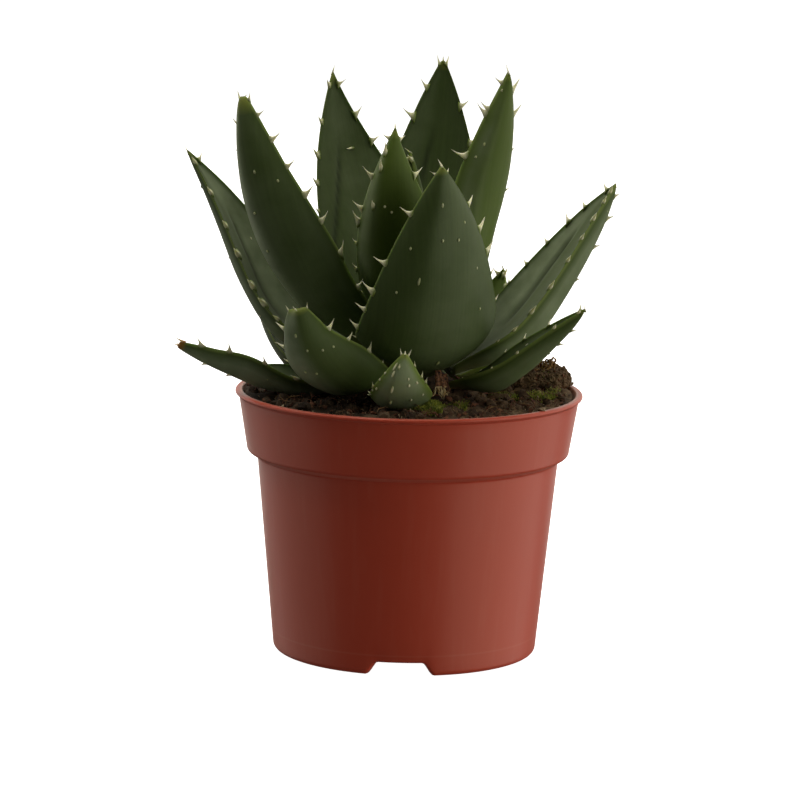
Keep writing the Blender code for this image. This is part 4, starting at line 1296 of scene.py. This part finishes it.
def husk_point(strip, up, across, layer):
    """A point of a strip: up from its ragged foot, across its folded width, on either skin."""
    bearing_deg, width, foot_out, foot_up, head_out, head_up = strip
    ragged = noise.noise(Vector((across * 4, bearing_deg, 3))) * (1 - up) * 0.25
    crumple = noise.noise(Vector((across, up * 3, 0)) + Vector((bearing_deg, 0, 0)))
    fold = math.sin(across * 7 + bearing_deg) * 0.35 + crumple
    radius = foot_out + (head_out - foot_out) * (up - ragged) + fold * 0.6
    height = foot_up + (head_up - foot_up) * (up - ragged)
    angle = math.radians(bearing_deg) + across * width / 2 / foot_out * (1 - 0.35 * up)
    place = Vector((radius * math.cos(angle), radius * math.sin(angle), height)) * MM
    return POT_AXIS + place + Vector((math.cos(angle), math.sin(angle), 0.3)) * layer * HUSK_THICKNESS


husks, fringes = bmesh.new(), bmesh.new()
draw = random.Random(23)
for strip in HUSKS:
    skins = []
    for layer in (0, 1):
        skins.append([[
            husks.verts.new(husk_point(strip, i / HUSK_ROWS, 2 * j / HUSK_COLUMNS - 1, layer))
            for j in range(HUSK_COLUMNS + 1)
        ] for i in range(HUSK_ROWS + 1)])
        skinned(husks, skins[layer], round_rows=False, round_points=False)
    for end in (0, -1):
        skinned(husks, [skin[end] for skin in skins], round_rows=False, round_points=False)
        edges = [[row[end] for row in skin] for skin in skins]
        skinned(husks, edges, round_rows=False, round_points=False)
    bearing_deg, width, foot_out, foot_up = strip[:4]
    for k in range(FRINGE_COUNT):
        angle = math.radians(bearing_deg) + (2 * k / (FRINGE_COUNT - 1) - 1) * width * 0.5 / foot_out
        out = Vector((math.cos(angle), math.sin(angle), 0))
        start = POT_AXIS + out * (foot_out - 0.1) * MM + Vector((0, 0, (foot_up + 0.8) * MM))
        heading = out * draw.uniform(0.0, 0.4) + Vector((draw.uniform(-0.2, 0.2), 0, -1))
        length = draw.uniform(0.6, 1.1) * (foot_up - FRINGE_FOOT_MM) * MM
        tube(fringes, wandering(draw, start, heading.normalized(), length, 6, 0.45), FRINGE_RADII, 5)
for name, mesh, finish in (("dried_husks", husks, husk), ("husk_fringes", fringes, frayed)):
    piece = finished(name, mesh, finish)
    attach(piece, "root")

# The clod: a lump of root-bound compost that is pressed against the pot's wall at the back right
# and stands above the rim there. Below the rim it keeps inside the wall.
CLOD_MIDDLE = Vector((45.4, 22.0, 88.4)) * MM
CLOD_RADII = Vector((10.8, 11.5, 6.8)) * MM
CLOD_SQUARENESS = 0.50
CLOD_DETAIL = 5
RIM_CLEARANCE = 0.3 * MM
bm = bmesh.new()
inner_layer = bm.verts.layers.float.new("from_axis")
bmesh.ops.create_icosphere(bm, subdivisions=CLOD_DETAIL, radius=1.0)
for vert in bm.verts:
    way = vert.co.normalized()
    shape = Vector([math.copysign(abs(c) ** CLOD_SQUARENESS, c) * r for c, r in zip(way, CLOD_RADII)])
    rough_mm = noise.noise(way * 2.1 + Vector((4, 1, 8))) * 1.5 + noise.noise(way * 5.3) * 1.3
    rough_mm += abs(noise.noise(way * 11)) * 1.4
    spot = CLOD_MIDDLE + shape + way * rough_mm * MM
    below_rim = spot.z < POT_HEIGHT + RIM_CLEARANCE
    free = LIP_RADIUS - 0.8 * MM + 0.4 * (spot.z - POT_HEIGHT)
    if below_rim:
        free = BAND_TOP_RADIUS - POT_WALL - 0.6 * MM - BAND_SPREAD * (POT_HEIGHT - spot.z)
    pressed = min(1.0, free / max(spot.xy.length, MM))
    vert.co = POT_AXIS + Vector((spot.x * pressed, spot.y * pressed, spot.z))
    vert[inner_layer] = OFF_THE_TOP if below_rim and pressed < 1.0 else 0.0
clod = finished("root_clod", bm, peat)
lump, flake = grit_form("lump", (1, 0.85, 0.7), 1, 31), grit_form("flake", (1, 0.6, 0.25), 1, 33)
clod_bed = bed_of(clod)
for form, finish, count, smallest, largest, seed in (
    (lump, peat, 900000.0, 0.8, 2.4, 41), (flake, bark, 160000.0, 0.8, 2.2, 42),
    (flake, chaff, 60000.0, 0.5, 1.4, 43),
):
    strew(clod, clod_bed, form, finish, count, smallest, largest, 1.0, 0.1, 1.0 * MM, seed)
settled(clod)
cleared((clod_bed, lump, flake))
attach(clod, "root")

# The root knot: yellowed roots, dried stiff, that curl up out of the clod's top and back over its
# right side.
yellow_root = plain_finish("yellowed_root", "#5c3820", "#c09a5c", 1.2 * MM, 0.7)
KNOT_FOOT = Vector((46.5, 20.5, 94.0)) * MM
KNOT_HEAD = Vector((49.2, 20.5, 98.9)) * MM
KNOT_ROOTS, KNOT_CURLS = 24, 12
CURL_LENGTH, CURL_RADII = 3.2 * MM, [0.36 * MM] * 7 + [0.28 * MM, 0.16 * MM]
ARM_RADIUS = 0.34 * MM
ARM = [
    (49.4, 20.2, 98.6), (50.3, 20.1, 98.2), (50.7, 20.0, 97.2), (50.6, 20.0, 96.1), (50.9, 20.0, 94.6),
    (51.0, 20.0, 93.6),
]


def scattered(low, high):
    """A random place between two corners."""
    return Vector([draw.uniform(a, b) for a, b in zip(low, high)])


bm = bmesh.new()
draw = random.Random(29)
for _ in range(KNOT_ROOTS):
    start = KNOT_FOOT + Vector((draw.uniform(-1.6, 1.6), draw.uniform(-1.5, 1.5), -0.8)) * MM
    run = KNOT_HEAD + scattered((-2.6, -1.2, -2.4), (0.9, 1.2, 0.4)) * MM - start
    strand = wandering(draw, POT_AXIS + start, run.normalized(), run.length * 1.05, 8, 0.34)
    girth = draw.uniform(0.35, 0.62) * MM
    tube(bm, strand, [girth * (1 - 0.45 * (k / 8) ** 2) for k in range(9)], 7)
for _ in range(KNOT_CURLS):
    start = KNOT_HEAD + scattered((-1.0, -0.8, -0.9), (0.8, 0.8, 0.5)) * MM
    way = scattered((-1, -1, -0.6), (1, 1, 1)).normalized()
    tube(bm, wandering(draw, POT_AXIS + start, way, CURL_LENGTH, 8, 1.1), CURL_RADII, 6)
tube(bm, [POT_AXIS + Vector(place) * MM for place in ARM], [ARM_RADIUS] * len(ARM), 7)
knot = finished("root_knot", bm, yellow_root)
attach(knot, "root")

# The moss: small yellow-green tufts of a few short shoots in the damp places of the compost.
moss_green = plain_finish("yellow_green_moss", "#4f6118", "#a9ae44", 1.5 * MM, 0.7)
# For each patch, in mm: its middle from the pot's axis and its radius, then its number of tufts.
MOSS_PATCHES = [
    (9.5, -32, 5.5, 240), (3.9, -35.5, 4, 40), (16.5, -31, 4, 20), (33.1, -4.8, 5, 34),
    (46, -8, 4, 40), (50, 4, 2.5, 10), (46, 14, 3, 10), (8, -41.5, 3.5, 60), (-30, 18, 7, 20),
    (4, 45, 8, 24),
]
TUFT_SHOOTS = 7
bm = bmesh.new()
draw = random.Random(37)
for _ in range(TUFT_SHOOTS):
    heading = Vector((draw.uniform(-0.8, 0.8), draw.uniform(-0.8, 0.8), 1.0)).normalized()
    shoot = wandering(draw, Vector((0, 0, -0.1)), heading, draw.uniform(0.7, 1.2), 4, 0.7)
    tube(bm, shoot, [0.045, 0.055, 0.05, 0.04, 0.015], 4)
tuft = finished("tuft", bm, moss_green)
stands = []
for x, y, spread, count in MOSS_PATCHES:
    for _ in range(count):
        bearing, far = draw.uniform(0, 2 * math.pi), spread * math.sqrt(draw.random())
        spot = Vector((x + far * math.cos(bearing), y + far * math.sin(bearing))) * MM
        place = POT_AXIS + Vector((spot.x, spot.y, soil_height(spot) + soil_crumb(spot) + 0.4 * MM))
        grow = draw.uniform(1.5, 3.0) * MM
        lean = Vector((draw.uniform(-0.4, 0.4), draw.uniform(-0.4, 0.4), 1.0)).normalized()
        turned = Vector((math.cos(bearing * 3), math.sin(bearing * 3), 0))
        stands.append((place, lean, turned, (grow, grow, grow)))
moss = finished("moss_tufts", bmesh.new(), moss_green)
moss_points = growing_points("moss_points", stands)
dress(moss, grown, Form=tuft, Points=moss_points, Finish=moss_green)
settled(moss)
cleared((moss_points, tuft))
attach(moss, "root")

# The rim crumb: a pale crumb of compost that was left on the pot's lip at the front right.
RIM_CRUMB_BEARING = math.radians(-38.9)
RIM_CRUMB_SIZE, RIM_CRUMB_LUMPS = 2.4 * MM, 0.8 * MM
rim_spot = Vector((math.cos(RIM_CRUMB_BEARING), math.sin(RIM_CRUMB_BEARING), 0)) * (LIP_RADIUS - 1.9 * MM)
rim_spot.z = POT_HEIGHT + 0.4 * MM
bm = bmesh.new()
bmesh.ops.create_icosphere(bm, subdivisions=3, radius=RIM_CRUMB_SIZE / 2)
for vert in bm.verts:
    vert.co *= 1 + noise.noise(vert.co / RIM_CRUMB_LUMPS) * 0.5
    vert.co.z *= 0.6
    vert.co += POT_AXIS + rim_spot
rim_crumb = finished("rim_crumb", bm, chaff)
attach(rim_crumb, "root")

# The studio: a wide white paper floor, a strong soft box at the right, a weak one at the left, one
# from above and a white backdrop. The air gives a little light of its own.
paper, tree, shader = finish_of("white_paper_floor", {
    "Base Color": (0.9, 0.9, 0.9, 1.0), "Roughness": 0.9, "Emission Color": (1.0, 1.0, 1.0, 1.0),
    "Emission Strength": 1.02,
})
FLOOR_SIZE, FLOOR_MIDDLE = 6.0, Vector((0, 2.5, -0.05 * MM))
bm = bmesh.new()
there = Matrix.Translation(FLOOR_MIDDLE)
bmesh.ops.create_grid(bm, x_segments=1, y_segments=1, size=FLOOR_SIZE, matrix=there)
floor = finished("studio_floor", bm, paper)
floor.visible_diffuse = False
floor.visible_glossy = False
floor.visible_shadow = False

world = bpy.data.worlds.new("studio_air")
bpy.context.scene.world = world
world.use_nodes = True
air = world.node_tree.nodes["Background"]
air.inputs["Color"].default_value = (1.0, 1.0, 1.0, 1.0)
air.inputs["Strength"].default_value = 0.05

SUBJECT = Vector((0.0, 0.0, 0.1))
WARM_WHITE = (1.0, 0.95, 0.87)
# For each soft box: its bearing from the camera's side in degrees, its height angle, its distance,
# its width and height in metres, and its power in watts.
SOFT_BOXES = {
    "right_soft_box": (82, 4, 1.5, 3.4, 2.5, 31.5),
    "white_backdrop": (180, 18, 1.6, 3.4, 2.2, 23),
    "left_soft_box": (-104, 4, 1.5, 2.6, 2.5, 9.6),
    "top_soft_box": (-115, 75, 1.4, 1.3, 1.3, 14),
    "floor_bounce": (0, -35, 1.3, 2.4, 1.2, 0.5),
}
for name, (bearing, lift, distance, width, height, power) in SOFT_BOXES.items():
    lamp = bpy.data.lights.new(name, "AREA")
    lamp.shape = "RECTANGLE"
    lamp.size, lamp.size_y, lamp.energy = width, height, power
    lamp.color = WARM_WHITE
    holder = bpy.data.objects.new(name, lamp)
    bearing, lift = math.radians(bearing - 90), math.radians(lift)
    away = Vector((math.cos(bearing) * math.cos(lift), math.sin(bearing) * math.cos(lift), math.sin(lift)))
    holder.location = SUBJECT + away * distance
    holder.rotation_euler = away.to_track_quat("Z", "Y").to_euler()
    holder.visible_camera = False
    bpy.context.scene.collection.objects.link(holder)

CAMERA_DISTANCE, CAMERA_HEIGHT = 1.476, 0.3395
CAMERA_TILT_DEG = 1.17
SENSOR_MM, LENS_MM = 36.0, 194.85
AIM_HEIGHT = 0.08235
PICTURE_SIDE, PICTURE_FOCAL = 800, 4330
AIM_AT_PIXEL = (408.56, 414.66)
camera_data = bpy.data.cameras.new("camera")
camera_data.sensor_width, camera_data.lens = SENSOR_MM, LENS_MM
camera = bpy.data.objects.new("camera", camera_data)
camera.location = POT_AXIS + Vector((0, -CAMERA_DISTANCE, CAMERA_HEIGHT))
look = Vector((0, CAMERA_DISTANCE, AIM_HEIGHT - CAMERA_HEIGHT)).normalized()
level = look.to_track_quat("-Z", "Y").to_matrix().to_4x4()
tilt = Matrix.Rotation(math.radians(CAMERA_TILT_DEG), 4, "Z")
swing = (AIM_AT_PIXEL[0] - PICTURE_SIDE / 2) / PICTURE_FOCAL
nod = (AIM_AT_PIXEL[1] - PICTURE_SIDE / 2) / PICTURE_FOCAL
off_centre = Matrix.Rotation(swing, 4, "Y") @ Matrix.Rotation(nod, 4, "X")
camera.matrix_world = Matrix.Translation(camera.location) @ level @ tilt @ off_centre
bpy.context.scene.collection.objects.link(camera)
bpy.context.scene.camera = camera
bpy.context.scene.view_settings.view_transform = "Standard"

bpy.context.view_layer.update()
